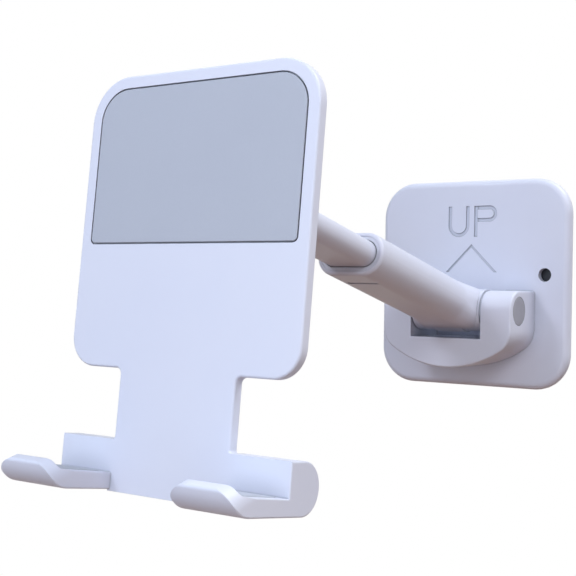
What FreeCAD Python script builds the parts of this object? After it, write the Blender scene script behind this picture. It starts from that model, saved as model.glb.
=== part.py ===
# Extendable phone wall mount: a wall plate with a moulded yoke, a telescopic arm that
# pitches in the yoke, and a holder with two hooks that tilts at the arm's far end.
# Millimetres. +X is to the right for someone facing the wall, +Y goes into the wall, +Z up.
# The origin is the middle of the face that sticks to the wall.
import FreeCAD, Part
import math
import os
import Sketcher

Vector = FreeCAD.Vector
document = FreeCAD.newDocument("phone_wall_mount")
sheet = document.addObject("Spreadsheet::Sheet", "Dims")

# Driving dimensions: name, value, meaning. Lengths in millimetres, angles in degrees.
DIMENSIONS = [
    # Wall plate and its foam sheet
    ("plate_width", 70.0, "wall plate, side of the square"),
    ("plate_thickness", 3.0, "wall plate, without the foam that stands proud"),
    ("plate_corner", 12.2, "wall plate, corner radius"),
    ("plate_edge", 2.2, "wall plate, rounding of the front rim"),
    ("foam_width", 62.0, "foam sheet, side of the square"),
    ("foam_corner", 9.5, "foam sheet, corner radius"),
    ("foam_thickness", 1.0, "foam sheet"),
    ("foam_proud", 0.4, "foam that stands out of its recess"),
    ("foam_gap", 0.3, "air round the foam in its recess"),
    ("hole_pitch", 53.4, "distance between the two screw holes"),
    ("hole_rise", 3.0, "screw holes above the middle of the plate"),
    ("hole_width", 4.5, "screw hole diameter"),
    ("foam_hole", 7.0, "hole in the foam round each screw"),
    # Yoke on the wall plate
    ("yoke_width", 46.6, "yoke across both ears"),
    ("yoke_round", 6.5, "rounding over the pin, which sets the front and the top"),
    ("yoke_corner", 8.0, "yoke, lower corner radius"),
    ("yoke_belly", 35.0, "yoke, radius of the curved underside"),
    ("yoke_drop", 27.9, "lowest point of the yoke below the middle"),
    ("yoke_edge", 0.7, "softening of the yoke's outer edges"),
    ("slot_width", 25.4, "slot between the ears"),
    ("slot_drop", 18.1, "floor of the slot below the middle"),
    ("slot_edge", 0.3, "rounding of the slot's edges at the front"),
    ("pin_reach", 15.5, "pitch pin in front of the wall"),
    ("pin_drop", 8.9, "pitch pin below the middle"),
    # Pitch pin and what is on it
    ("pin_width", 4.0, "pitch screw, shank diameter"),
    ("pin_clearance", 0.06, "radial clearance of a pin in what turns on it"),
    ("pin_head", 7.6, "pitch screw, head diameter"),
    ("pin_head_height", 2.8, "pitch screw, head height"),
    ("pin_socket", 2.5, "pitch screw, socket across flats"),
    ("pin_nut", 7.0, "pitch nut across flats"),
    ("pin_nut_height", 3.2, "pitch nut height"),
    ("pin_pocket", 5.8, "depth of the pockets for head and nut"),
    ("cap_width", 9.3, "cap over the pitch pin, diameter"),
    ("cap_height", 1.2, "cap over the pitch pin, thickness"),
    ("cap_clearance", 0.05, "radial clearance of a cap in its seat"),
    ("pin_bevel", 0.3, "bevel at both ends of a screw"),
    ("disc_height", 0.8, "dished spring washer, height under load"),
    ("disc_wall", 0.4, "dished spring washer, sheet thickness"),
    ("washer_width", 12.4, "friction washer, diameter"),
    ("washer_height", 0.5, "friction washer, thickness"),
    # Sleeve, the outer part of the arm
    ("arm_angle", 14.3, "arm above the horizontal at rest"),
    ("sleeve_reach", 67.3, "pin to the mouth of the sleeve"),
    ("sleeve_width", 22.1, "sleeve across the rounded sides"),
    ("sleeve_root", 13.8, "sleeve height at its shoulder, also the knuckle's diameter"),
    ("sleeve_tip", 12.8, "sleeve height at its mouth"),
    ("cheek_corner", 3.8, "edge radius of the flat knuckle"),
    ("shoulder_reach", 13.5, "pin to where the knuckle has become the sleeve"),
    ("flat_rest", 0.2, "straight length kept between two rounded corners"),
    ("bore_reach", 10.5, "pin to the blind end of the bore"),
    ("bore_width", 19.7, "bore across the rounded sides"),
    ("bore_height", 10.3, "bore height"),
    ("mouth_round", 1.0, "rounding of the mouth"),
    ("lug_width", 10.4, "stop lug on the knuckle, width"),
    ("lug_rise", 0.5, "stop lug above the knuckle"),
    ("window_width", 10.4, "catch window in the underside, width"),
    ("window_length", 1.6, "catch window, length along the arm"),
    ("window_setback", 8.2, "mouth to the near edge of the catch window"),
    # Bush in the mouth
    ("bush_length", 10.6, "bush"),
    ("bush_setback", 0.15, "bush behind the mouth's face"),
    ("bush_clearance", 0.03, "bush in the bore, each side"),
    ("catch_rise", 0.75, "catch of the bush, height in the window"),
    ("catch_gap", 0.1, "air round the catch"),
    # Sliding tube and its glide
    ("tilt_reach", 125.4, "pitch pin to tilt pin at rest"),
    ("tube_width", 17.3, "tube across the rounded sides"),
    ("tube_height", 7.6, "tube height"),
    ("tube_wall", 1.5, "tube wall"),
    ("tube_overlap", 22.8, "length of the tube inside the sleeve at rest"),
    ("tube_solid", 16.0, "solid end of the tube, from the tilt pin"),
    ("tube_shoulder", 14.0, "tilt pin to where the tube's own section starts"),
    ("tube_knuckle", 9.0, "diameter of the tube's knuckle"),
    ("tube_cheek", 1.5, "edge radius of the tube's knuckle"),
    ("slide_gap", 0.2, "air between tube and bush, each side"),
    ("glide_length", 7.4, "glide over the tube"),
    ("glide_floor", 1.5, "end wall of the glide"),
    ("glide_gap", 0.15, "air between glide and bore, each side"),
    ("glide_fit", 0.03, "glide on the tube, each side"),
    ("plug_length", 6.0, "plug of the glide inside the tube"),
    # Holder
    ("tilt_angle", 6.2, "holder leaning back at rest"),
    ("pivot_depth", 13.5, "tilt pin behind the front face"),
    ("holder_width", 70.0, "holder"),
    ("holder_thickness", 2.6, "holder plate"),
    ("holder_rise", 26.8, "top edge above the tilt pin"),
    ("shoulder_drop", 46.0, "end of the wide part below the tilt pin"),
    ("stem_width", 35.4, "narrow stem between the hooks"),
    ("holder_drop", 75.5, "bottom edge below the tilt pin"),
    ("top_corner", 11.5, "upper corner radius"),
    ("shoulder_corner", 7.5, "lower corner radius of the wide part"),
    ("armpit_corner", 1.5, "inner radius where the stem starts"),
    ("hip_corner", 0.8, "inner radius where the stem meets a hook"),
    ("holder_edge", 0.6, "rounding of the front rim"),
    # Front pad
    ("pad_inset", 3.1, "front pad's recess inside the holder's rim"),
    ("pad_drop", 15.7, "lower edge of that recess below the tilt pin"),
    ("pad_corner", 1.5, "its lower corner radius"),
    ("pad_recess", 0.8, "its depth"),
    ("pad_thickness", 1.0, "front pad"),
    ("pad_groove", 0.35, "groove round the front pad"),
    # Hooks
    ("bar_height", 12.4, "back bar of a hook"),
    ("bar_depth", 11.3, "back bar behind the front face"),
    ("bar_round", 6.0, "rear rounding of the back bar"),
    ("ledge_root", 4.4, "ledge thickness at the plate"),
    ("ledge_slope", 3.5, "upward slope of the ledge"),
    ("under_slope", 2.0, "upward slope of the hook's underside, from its back"),
    ("lip_reach", 18.1, "lip's front face, run down to the underside"),
    ("lip_lean", 20.6, "lip leaning forward"),
    ("lip_rise", 6.6, "front edge of the lip's tip above the underside"),
    ("lip_wall", 3.4, "lip thickness"),
    ("lip_bend", 7.0, "outer bend from ledge to lip"),
    ("lip_throat", 2.0, "inner bend from ledge to lip"),
    ("lip_tip", 0.8, "rounding of the lip's tip"),
    ("lip_corner", 5.0, "corner radius of the lip seen from the front"),
    ("hook_edge", 0.4, "rounding of a hook's edges at its two sides"),
    ("liner_side", 1.6, "hook liner's recess inside the hook's sides"),
    ("liner_start", 1.6, "liner's recess in front of the plate"),
    ("liner_length", 12.6, "liner's recess, front to back"),
    ("liner_corner", 1.0, "corner radius of that recess"),
    ("liner_recess", 0.8, "its depth"),
    ("liner_thickness", 1.1, "hook liner"),
    ("liner_groove", 0.4, "groove round a hook liner"),
    # Tilt hinge behind the holder
    ("ear_thickness", 6.0, "each ear behind the holder"),
    ("ear_round", 6.5, "ear beyond the tilt pin"),
    ("ear_root", 9.5, "half height of an ear at the plate"),
    ("ear_edge", 0.5, "rounding of an ear's outer edges"),
    ("tilt_width", 3.0, "tilt screw, shank diameter"),
    ("tilt_head", 5.4, "tilt screw, head diameter"),
    ("tilt_head_height", 2.0, "tilt screw, head height"),
    ("tilt_socket", 2.0, "tilt screw, socket across flats"),
    ("tilt_nut", 5.5, "tilt nut across flats"),
    ("tilt_nut_height", 2.4, "tilt nut height"),
    ("tilt_pocket", 4.2, "depth of the pockets for head and nut"),
    ("tilt_cap", 6.6, "cap over the tilt pin, diameter"),
    ("tilt_cap_height", 1.0, "cap over the tilt pin, thickness"),
    ("tilt_washer", 8.6, "friction washer of the tilt hinge, diameter"),
    ("tilt_disc", 0.6, "dished washer of the tilt hinge, height under load"),
]

# Lengths that follow from the driving ones, as expressions on the sheet.
PLATE_HALF = "(Dims.plate_width / 2)"
PLATE_BACK = "Dims.foam_proud"
PLATE_FRONT = "(Dims.foam_proud + Dims.plate_thickness)"
FOAM_RECESS = "(Dims.foam_thickness - Dims.foam_proud)"
HOLE_X = "(Dims.hole_pitch / 2)"
YOKE_HALF = "(Dims.yoke_width / 2)"
YOKE_FRONT = "(Dims.pin_reach + Dims.yoke_round)"
YOKE_TOP = "(Dims.yoke_round - Dims.pin_drop)"
KNUCKLE_WIDTH = "(Dims.slot_width - 2 * Dims.washer_height)"
SHAFT_HOLE = "(Dims.pin_width / 2 + Dims.pin_clearance)"
CAP_SEAT = "(Dims.cap_width / 2 + Dims.cap_clearance)"
BORE_CORNER = "(Dims.bore_height / 2 - Dims.flat_rest / 2)"
TUBE_CORNER = "(Dims.tube_height / 2 - Dims.flat_rest / 2)"
TUBE_LENGTH = "(Dims.tilt_reach - Dims.sleeve_reach + Dims.tube_overlap)"
HOLDER_HALF = "(Dims.holder_width / 2)"
HOLDER_BACK = "(Dims.pivot_depth - Dims.holder_thickness)"
STEM_HALF = "(Dims.stem_width / 2)"
BAR_TOP = "(Dims.bar_height - Dims.holder_drop)"
HOOK_WIDTH = "(Dims.holder_width / 2 - Dims.stem_width / 2)"
PAD_HALF = "(Dims.holder_width / 2 - Dims.pad_inset)"
TILT_GAP = "(Dims.tube_width / 2 + Dims.washer_height)"
TILT_FACE = "(Dims.tube_width / 2 + Dims.washer_height + Dims.ear_thickness)"
TILT_HOLE = "(Dims.tilt_width / 2 + Dims.pin_clearance)"
TILT_SEAT = "(Dims.tilt_cap / 2 + Dims.cap_clearance)"

ALONG_X = "YZ_Plane"
FACING_FRONT = "XZ_Plane"
LEVEL = "XY_Plane"
TOUCH = 0.01


def fill_sheet():
    """Write each driving dimension into the sheet with its alias."""
    for number, (name, value, meaning) in enumerate(DIMENSIONS, start=1):
        sheet.set("A%d" % number, meaning)
        sheet.set("B%d" % number, str(value))
        sheet.setAlias("B%d" % number, name)
    document.recompute()


def size(expression):
    """The present value of an expression on the sheet."""
    return float(sheet.evalExpression(expression))


def minus(expression):
    return "-(%s)" % expression


def new_body(name):
    """A body whose label is the name of the piece."""
    body = document.addObject("PartDesign::Body", name)
    body.Label = name
    return body


def new_sketch(body, name, role, offset, rise="0", lean=None):
    """A sketch on one of the body's origin planes.

    It is moved by offset along the plane's normal and by rise along the sketch's own
    vertical, and it can lean about its own horizontal.
    """
    sketch = body.newObject("Sketcher::SketchObject", name)
    plane = [feature for feature in body.Origin.OriginFeatures if feature.Role == role][0]
    sketch.AttachmentSupport = [(plane, "")]
    sketch.MapMode = "FlatFace"
    if lean is not None:
        sketch.AttachmentOffset = FreeCAD.Placement(
            Vector(0, 0, 0), FreeCAD.Rotation(Vector(1, 0, 0), size(lean)))
        sketch.setExpression("AttachmentOffset.Rotation.Angle", lean)
    sketch.setExpression("AttachmentOffset.Base.z", offset)
    sketch.setExpression("AttachmentOffset.Base.y", rise)
    return sketch


def pin_point(sketch, geometry, position, across, up):
    """Dimension a point of the sketch from its origin, both ways."""
    for kind, expression in (("DistanceX", across), ("DistanceY", up)):
        number = sketch.addConstraint(
            Sketcher.Constraint(kind, -1, 1, geometry, position, size(expression)))
        sketch.setExpression("Constraints[%d]" % number, expression)


def set_radius(sketch, geometry, radius):
    number = sketch.addConstraint(Sketcher.Constraint("Radius", geometry, size(radius)))
    sketch.setExpression("Constraints[%d]" % number, radius)


def nearer_end(sketch, geometry, place):
    """1 or 2, the end of an arc that lies at a place."""
    gaps = [sketch.getPoint(geometry, end).sub(place).Length for end in (1, 2)]
    return 1 if gaps[0] < gaps[1] else 2


def add_loop(sketch, corners):
    """A closed loop of straight lines through corners, some of them rounded.

    Each corner is (across, up, radius), as expressions; a sharp one has None for its
    radius. A rounded corner keeps its own dimensioned point where the lines would meet.
    """
    count = len(corners)
    places = [Vector(size(across), size(up), 0) for across, up, radius in corners]
    entries, exits, middles = [], [], []
    for index, (across, up, radius) in enumerate(corners):
        place = places[index]
        if radius is None:
            entries.append(place)
            exits.append(place)
            middles.append(None)
            continue
        back = places[index - 1].sub(place).normalize()
        ahead = places[(index + 1) % count].sub(place).normalize()
        half_angle = back.getAngle(ahead) / 2
        run = size(radius) / math.tan(half_angle)
        inward = back.add(ahead).normalize()
        entries.append(place.add(Vector(back).multiply(run)))
        exits.append(place.add(Vector(ahead).multiply(run)))
        reach = size(radius) / math.sin(half_angle) - size(radius)
        middles.append(place.add(inward.multiply(reach)))
    lines = [sketch.addGeometry(Part.LineSegment(exits[index], entries[(index + 1) % count]), False)
             for index in range(count)]
    for index, (across, up, radius) in enumerate(corners):
        before, after = lines[index - 1], lines[index]
        if radius is None:
            sketch.addConstraint(Sketcher.Constraint("Coincident", before, 2, after, 1))
            pin_point(sketch, after, 1, across, up)
            continue
        arc = sketch.addGeometry(Part.Arc(entries[index], middles[index], exits[index]), False)
        start = nearer_end(sketch, arc, entries[index])
        sketch.addConstraint(Sketcher.Constraint("Tangent", before, 2, arc, start))
        sketch.addConstraint(Sketcher.Constraint("Tangent", arc, 3 - start, after, 1))
        set_radius(sketch, arc, radius)
        corner = sketch.addGeometry(Part.Point(places[index]), True)
        sketch.addConstraint(Sketcher.Constraint("PointOnObject", corner, 1, before))
        sketch.addConstraint(Sketcher.Constraint("PointOnObject", corner, 1, after))
        pin_point(sketch, corner, 1, across, up)


def add_circle(sketch, across, up, radius):
    centre = Vector(size(across), size(up), 0)
    circle = sketch.addGeometry(Part.Circle(centre, Vector(0, 0, 1), size(radius)), False)
    pin_point(sketch, circle, 3, across, up)
    set_radius(sketch, circle, radius)


def oblong(half_width, low, high, radius):
    """Corners of a rounded rectangle that is even about the sketch's vertical."""
    left = minus(half_width)
    return [(left, low, radius), (half_width, low, radius),
            (half_width, high, radius), (left, high, radius)]


def section(width, height, radius):
    """Corners of an arm section: width and height about the middle."""
    return oblong("(%s) / 2" % width, minus("(%s) / 2" % height), "(%s) / 2" % height, radius)


def hexagon(across, up, flats):
    """Corners of a hexagon of that width across flats."""
    corners = []
    for turn in range(6):
        angle = math.radians(60 * turn)
        corners.append(("%s + (%s) / sqrt(3) * %.9f" % (across, flats, math.cos(angle)),
                        "%s + (%s) / sqrt(3) * %.9f" % (up, flats, math.sin(angle)), None))
    return corners


def extrude(body, name, sketch, length, reverse=False, both_ways=False, cut=False):
    """Pad or pocket a sketch and make the result the body's tip."""
    kind = "PartDesign::Pocket" if cut else "PartDesign::Pad"
    feature = body.newObject(kind, name)
    feature.Profile = sketch
    feature.setExpression("Length", length)
    feature.Reversed = reverse
    if both_ways:
        feature.SideType = "Symmetric"
    body.Tip = feature
    document.recompute()
    return feature


def loft(body, name, first, second):
    """Blend from one arm section to another."""
    feature = body.newObject("PartDesign::AdditiveLoft", name)
    feature.Profile = first
    feature.Sections = [second]
    feature.Ruled = True
    body.Tip = feature
    document.recompute()
    return feature


def revolve(body, name, sketch):
    """Turn a sketch about its own horizontal."""
    feature = body.newObject("PartDesign::Revolution", name)
    feature.Profile = sketch
    feature.ReferenceAxis = (sketch, ["H_Axis"])
    feature.Angle = 360
    body.Tip = feature
    document.recompute()
    return feature


def mirror(body, name, features):
    """Repeat features on the other side of the middle plane."""
    feature = body.newObject("PartDesign::Mirrored", name)
    feature.Originals = features
    plane = [item for item in body.Origin.OriginFeatures if item.Role == ALONG_X][0]
    feature.MirrorPlane = (plane, [""])
    body.Tip = feature
    document.recompute()
    return feature


def round_edges(body, name, radius, wanted):
    """Round the edges of the body so far that the test picks."""
    base = body.Tip
    names = ["Edge%d" % number for number, edge in enumerate(base.Shape.Edges, start=1)
             if wanted(edge.BoundBox)]
    feature = body.newObject("PartDesign::Fillet", name)
    feature.Base = (base, names)
    feature.setExpression("Radius", radius)
    body.Tip = feature
    document.recompute()
    return feature


def at(low, high, place):
    """True if a stretch from low to high lies wholly at a place."""
    return abs(low - place) < TOUCH and abs(high - place) < TOUCH


def set_place(body, forward, rise, angle=None):
    """Put a body in the mount: in front of the wall, above the middle, pitched up."""
    if angle is not None:
        body.Placement = FreeCAD.Placement(
            Vector(0, 0, 0), FreeCAD.Rotation(Vector(1, 0, 0), -size(angle)))
        body.setExpression("Placement.Rotation.Angle", minus(angle))
    body.setExpression("Placement.Base.y", minus(forward))
    body.setExpression("Placement.Base.z", rise)


def place_at_wall(body):
    set_place(body, "0", "0")


def place_at_pin(body):
    set_place(body, "Dims.pin_reach", minus("Dims.pin_drop"))


def place_on_sleeve(body):
    set_place(body, "Dims.pin_reach", minus("Dims.pin_drop"), "Dims.arm_angle")


TILT_FORWARD = "(Dims.pin_reach + Dims.tilt_reach * cos(Dims.arm_angle))"
TILT_UP = "(Dims.tilt_reach * sin(Dims.arm_angle) - Dims.pin_drop)"


def place_on_tube(body):
    set_place(body, TILT_FORWARD, TILT_UP, "Dims.arm_angle")


def place_on_holder(body):
    set_place(body, TILT_FORWARD, TILT_UP, "Dims.tilt_angle")


def cut_pin_seat(body, prefix, face, centre, sizes):
    """Through hole, head pocket on the right and cap seat with nut pocket on the left."""
    across, up = centre
    shaft, cap, cap_height, flats, pocket = sizes
    hole = new_sketch(body, prefix + "_hole_sketch", ALONG_X, "0")
    add_circle(hole, across, up, shaft)
    extrude(body, prefix + "_hole", hole, "2 * (%s) + 2" % face, both_ways=True, cut=True)
    head = new_sketch(body, prefix + "_head_sketch", ALONG_X, face)
    add_circle(head, across, up, cap)
    extrude(body, prefix + "_head_pocket", head, pocket, cut=True)
    seat = new_sketch(body, prefix + "_seat_sketch", ALONG_X, minus(face))
    add_circle(seat, across, up, cap)
    extrude(body, prefix + "_cap_seat", seat, cap_height, reverse=True, cut=True)
    nut = new_sketch(body, prefix + "_nut_sketch", ALONG_X, minus(face))
    add_loop(nut, hexagon(across, up, flats))
    extrude(body, prefix + "_nut_pocket", nut, pocket, reverse=True, cut=True)


def make_wall_base():
    """Wall plate and yoke, moulded in one piece."""
    body = new_body("wall_base")
    plate = new_sketch(body, "plate_sketch", FACING_FRONT, PLATE_BACK)
    add_loop(plate, oblong(PLATE_HALF, minus(PLATE_HALF), PLATE_HALF, "Dims.plate_corner"))
    extrude(body, "plate", plate, "Dims.plate_thickness")
    front = -size(PLATE_FRONT)
    round_edges(body, "plate_rim", "Dims.plate_edge", lambda box: at(box.YMin, box.YMax, front))

    yoke = new_sketch(body, "yoke_sketch", FACING_FRONT, "Dims.plate_edge")
    draw_yoke_outline(yoke)
    extrude(body, "yoke", yoke, "%s - Dims.plate_edge" % YOKE_FRONT)
    nose = -size(YOKE_FRONT)
    top = size(YOKE_TOP)
    round_edges(body, "yoke_nose", "Dims.yoke_round",
                lambda box: at(box.YMin, box.YMax, nose) and at(box.ZMin, box.ZMax, top))
    side = size(YOKE_HALF)
    round_edges(body, "yoke_softened", "Dims.yoke_edge",
                lambda box: box.YMin < front - 1 and (
                    at(box.YMin, box.YMax, nose) and box.ZMax < top - size("Dims.yoke_round") + 1
                    or at(abs(box.XMin), abs(box.XMax), side) and box.XMin * box.XMax > 0
                    and box.YMax - box.YMin > 1 and box.ZMin > -size("Dims.yoke_drop") / 2))

    slot = new_sketch(body, "slot_sketch", FACING_FRONT, "%s + 1" % YOKE_FRONT)
    slot_half = "(Dims.slot_width / 2)"
    slot_top = "%s + 1" % YOKE_TOP
    add_loop(slot, oblong(slot_half, minus("Dims.slot_drop"), slot_top, None))
    extrude(body, "slot", slot, "%s + 1 - %s" % (YOKE_FRONT, PLATE_FRONT), cut=True)
    inside, floor = size("Dims.slot_width / 2"), -size("Dims.slot_drop")
    round_edges(body, "slot_softened", "Dims.slot_edge",
                lambda box: at(box.YMin, box.YMax, nose) and (
                    at(abs(box.XMin), abs(box.XMax), inside) and box.ZMax - box.ZMin > 1
                    or at(box.ZMin, box.ZMax, floor)))

    cut_pin_seat(body, "pin", YOKE_HALF, (minus("Dims.pin_reach"), minus("Dims.pin_drop")),
                 (SHAFT_HOLE, CAP_SEAT, "Dims.cap_height", "Dims.pin_nut + 0.1", "Dims.pin_pocket"))

    recess = new_sketch(body, "foam_recess_sketch", FACING_FRONT, PLATE_BACK)
    recess_half = "(Dims.foam_width / 2 + Dims.foam_gap)"
    add_loop(recess, oblong(recess_half, minus(recess_half), recess_half,
                            "Dims.foam_corner + Dims.foam_gap"))
    extrude(body, "foam_recess", recess, FOAM_RECESS, reverse=True, cut=True)

    holes = new_sketch(body, "screw_holes_sketch", FACING_FRONT, "%s + 1" % PLATE_FRONT)
    for across in (HOLE_X, minus(HOLE_X)):
        add_circle(holes, across, "Dims.hole_rise", "Dims.hole_width / 2")
    extrude(body, "screw_holes", holes, "%s + 1" % PLATE_FRONT, cut=True)
    place_at_wall(body)


def draw_yoke_outline(sketch):
    """Flat top, upright sides, and a belly of large radius between two rounded corners."""
    half, top, low = size(YOKE_HALF), size(YOKE_TOP), -size("Dims.yoke_drop")
    corner, belly = size("Dims.yoke_corner"), size("Dims.yoke_belly")
    centre = Vector(0, low + belly, 0)
    turn_x = half - corner
    turn_up = centre.y - math.sqrt((belly - corner) ** 2 - turn_x ** 2)
    outward = Vector(turn_x, turn_up, 0).sub(centre).normalize()
    meet = centre.add(Vector(outward).multiply(belly))
    slant = math.atan2(outward.y, outward.x)
    middle = Vector(turn_x + corner * math.cos(slant / 2), turn_up + corner * math.sin(slant / 2), 0)

    def mirrored(place):
        return Vector(-place.x, place.y, 0)

    right_low = Vector(half, turn_up, 0)
    roof = sketch.addGeometry(Part.LineSegment(Vector(half, top, 0), Vector(-half, top, 0)), False)
    left = sketch.addGeometry(Part.LineSegment(Vector(-half, top, 0), mirrored(right_low)), False)
    right = sketch.addGeometry(Part.LineSegment(right_low, Vector(half, top, 0)), False)
    left_turn = sketch.addGeometry(Part.Arc(mirrored(right_low), mirrored(middle), mirrored(meet)), False)
    right_turn = sketch.addGeometry(Part.Arc(meet, middle, right_low), False)
    under = sketch.addGeometry(Part.Arc(mirrored(meet), Vector(0, low, 0), meet), False)

    def join(kind, first, second, place):
        sketch.addConstraint(Sketcher.Constraint(
            kind, first, nearer_end(sketch, first, place), second, nearer_end(sketch, second, place)))

    join("Coincident", roof, left, Vector(-half, top, 0))
    join("Coincident", right, roof, Vector(half, top, 0))
    join("Tangent", left, left_turn, mirrored(right_low))
    join("Tangent", left_turn, under, mirrored(meet))
    join("Tangent", under, right_turn, meet)
    join("Tangent", right_turn, right, right_low)
    pin_point(sketch, roof, 1, YOKE_HALF, YOKE_TOP)
    pin_point(sketch, roof, 2, minus(YOKE_HALF), YOKE_TOP)
    sketch.addConstraint(Sketcher.Constraint("Vertical", left))
    sketch.addConstraint(Sketcher.Constraint("Vertical", right))
    set_radius(sketch, left_turn, "Dims.yoke_corner")
    set_radius(sketch, right_turn, "Dims.yoke_corner")
    set_radius(sketch, under, "Dims.yoke_belly")
    number = sketch.addConstraint(Sketcher.Constraint("DistanceY", -1, 1, under, 3, centre.y))
    sketch.setExpression("Constraints[%d]" % number, "Dims.yoke_belly - Dims.yoke_drop")


def make_foam_sheet():
    """Double-sided foam in the back of the wall plate, clear of the screws."""
    body = new_body("adhesive_pad")
    sheet_sketch = new_sketch(body, "foam_sketch", FACING_FRONT, "0")
    half = "(Dims.foam_width / 2)"
    add_loop(sheet_sketch, oblong(half, minus(half), half, "Dims.foam_corner"))
    for across in (HOLE_X, minus(HOLE_X)):
        add_circle(sheet_sketch, across, "Dims.hole_rise", "Dims.foam_hole / 2")
    extrude(body, "foam", sheet_sketch, "Dims.foam_thickness")
    place_at_wall(body)


def make_screw(name, place, shank, head, socket, seat, tail):
    """Socket screw along X: head outside the right ear, shank through to the nut."""
    body = new_body(name)
    profile = new_sketch(body, name + "_profile", LEVEL, "0")
    head_width, head_height = head
    top = "(%s + %s)" % (seat, head_height)
    bevel = "Dims.pin_bevel"
    head_edge = "(%s) / 2" % head_width
    shank_edge = "(%s) / 2" % shank
    add_loop(profile, [
        (minus(tail), "0", None), (top, "0", None), (top, "%s - %s" % (head_edge, bevel), None),
        ("%s - %s" % (top, bevel), head_edge, None), (seat, head_edge, None),
        (seat, shank_edge, None), ("%s - %s" % (bevel, tail), shank_edge, None),
        (minus(tail), "%s - %s" % (shank_edge, bevel), None)])
    revolve(body, name + "_turned", profile)
    hexagon_sketch = new_sketch(body, name + "_socket_sketch", ALONG_X, top)
    add_loop(hexagon_sketch, hexagon("0", "0", socket))
    extrude(body, name + "_socket", hexagon_sketch, "%s * 0.6" % head_height, cut=True)
    place(body)


def make_nut(name, place, flats, shaft, seat, height):
    """Hexagon nut held in the left ear."""
    body = new_body(name)
    sketch = new_sketch(body, name + "_sketch", ALONG_X, minus(seat))
    add_loop(sketch, hexagon("0", "0", flats))
    add_circle(sketch, "0", "0", shaft)
    extrude(body, name + "_pad", sketch, height, reverse=True)
    place(body)


def make_ring(name, place, start, thickness, outer, inner):
    """Flat washer along X from start outwards."""
    body = new_body(name)
    sketch = new_sketch(body, name + "_sketch", ALONG_X, start)
    add_circle(sketch, "0", "0", outer)
    add_circle(sketch, "0", "0", inner)
    extrude(body, name + "_pad", sketch, thickness)
    place(body)


def make_dished_washer(name, place, start, height, outer, inner):
    """Spring washer along X: a cone of thin sheet between the ear and the screw head."""
    body = new_body(name)
    profile = new_sketch(body, name + "_profile", LEVEL, "0")
    wall = "Dims.disc_wall"
    add_loop(profile, [
        (start, outer, None), ("%s + %s" % (start, wall), outer, None),
        ("%s + %s" % (start, height), inner, None),
        ("%s + %s - %s" % (start, height, wall), inner, None)])
    revolve(body, name + "_turned", profile)
    place(body)


def make_cap(name, place, face, thickness, radius, side, boss):
    """Round plug that covers a pin: a disc flush with the ear and a boss behind it."""
    body = new_body(name)
    disc = new_sketch(body, name + "_disc_sketch", ALONG_X, face if side > 0 else minus(face))
    add_circle(disc, "0", "0", radius)
    extrude(body, name + "_disc", disc, thickness, reverse=side > 0)
    inner = "(%s - %s)" % (face, thickness)
    stem = new_sketch(body, name + "_boss_sketch", ALONG_X, inner if side > 0 else minus(inner))
    add_circle(stem, "0", "0", "%s * 0.55" % radius)
    extrude(body, name + "_boss", stem, boss, reverse=side > 0)
    place(body)


def make_pitch_pin():
    """Everything on the pitch pin: screw, nut, washers and the two caps."""
    shoulder = "(%s - Dims.pin_pocket)" % YOKE_HALF
    seat = "(%s + Dims.disc_height)" % shoulder
    tail = "(%s + Dims.pin_nut_height + 0.5)" % shoulder
    make_screw("arm_screw", place_at_pin, "Dims.pin_width",
               ("Dims.pin_head", "Dims.pin_head_height"), "Dims.pin_socket", seat, tail)
    make_nut("arm_nut", place_at_pin, "Dims.pin_nut", SHAFT_HOLE, shoulder, "Dims.pin_nut_height")
    make_dished_washer("arm_spring_washer", place_at_pin, shoulder, "Dims.disc_height",
                       "Dims.pin_head / 2", "(Dims.pin_width / 2 + 0.2)")
    make_ring("arm_washer_right", place_at_pin, "(Dims.slot_width / 2 - Dims.washer_height)",
              "Dims.washer_height", "Dims.washer_width / 2", SHAFT_HOLE)
    make_ring("arm_washer_left", place_at_pin, minus("Dims.slot_width / 2"),
              "Dims.washer_height", "Dims.washer_width / 2", SHAFT_HOLE)
    room_right = "(%s - Dims.cap_height - %s - Dims.pin_head_height)" % (YOKE_HALF, seat)
    make_cap("arm_cap_right", place_at_pin, YOKE_HALF, "Dims.cap_height",
             "Dims.cap_width / 2", 1, "(%s - 0.1)" % room_right)
    make_cap("arm_cap_left", place_at_pin, YOKE_HALF, "Dims.cap_height",
             "Dims.cap_width / 2", -1, "(Dims.pin_pocket - Dims.cap_height - Dims.pin_nut_height - 0.6)")


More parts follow.
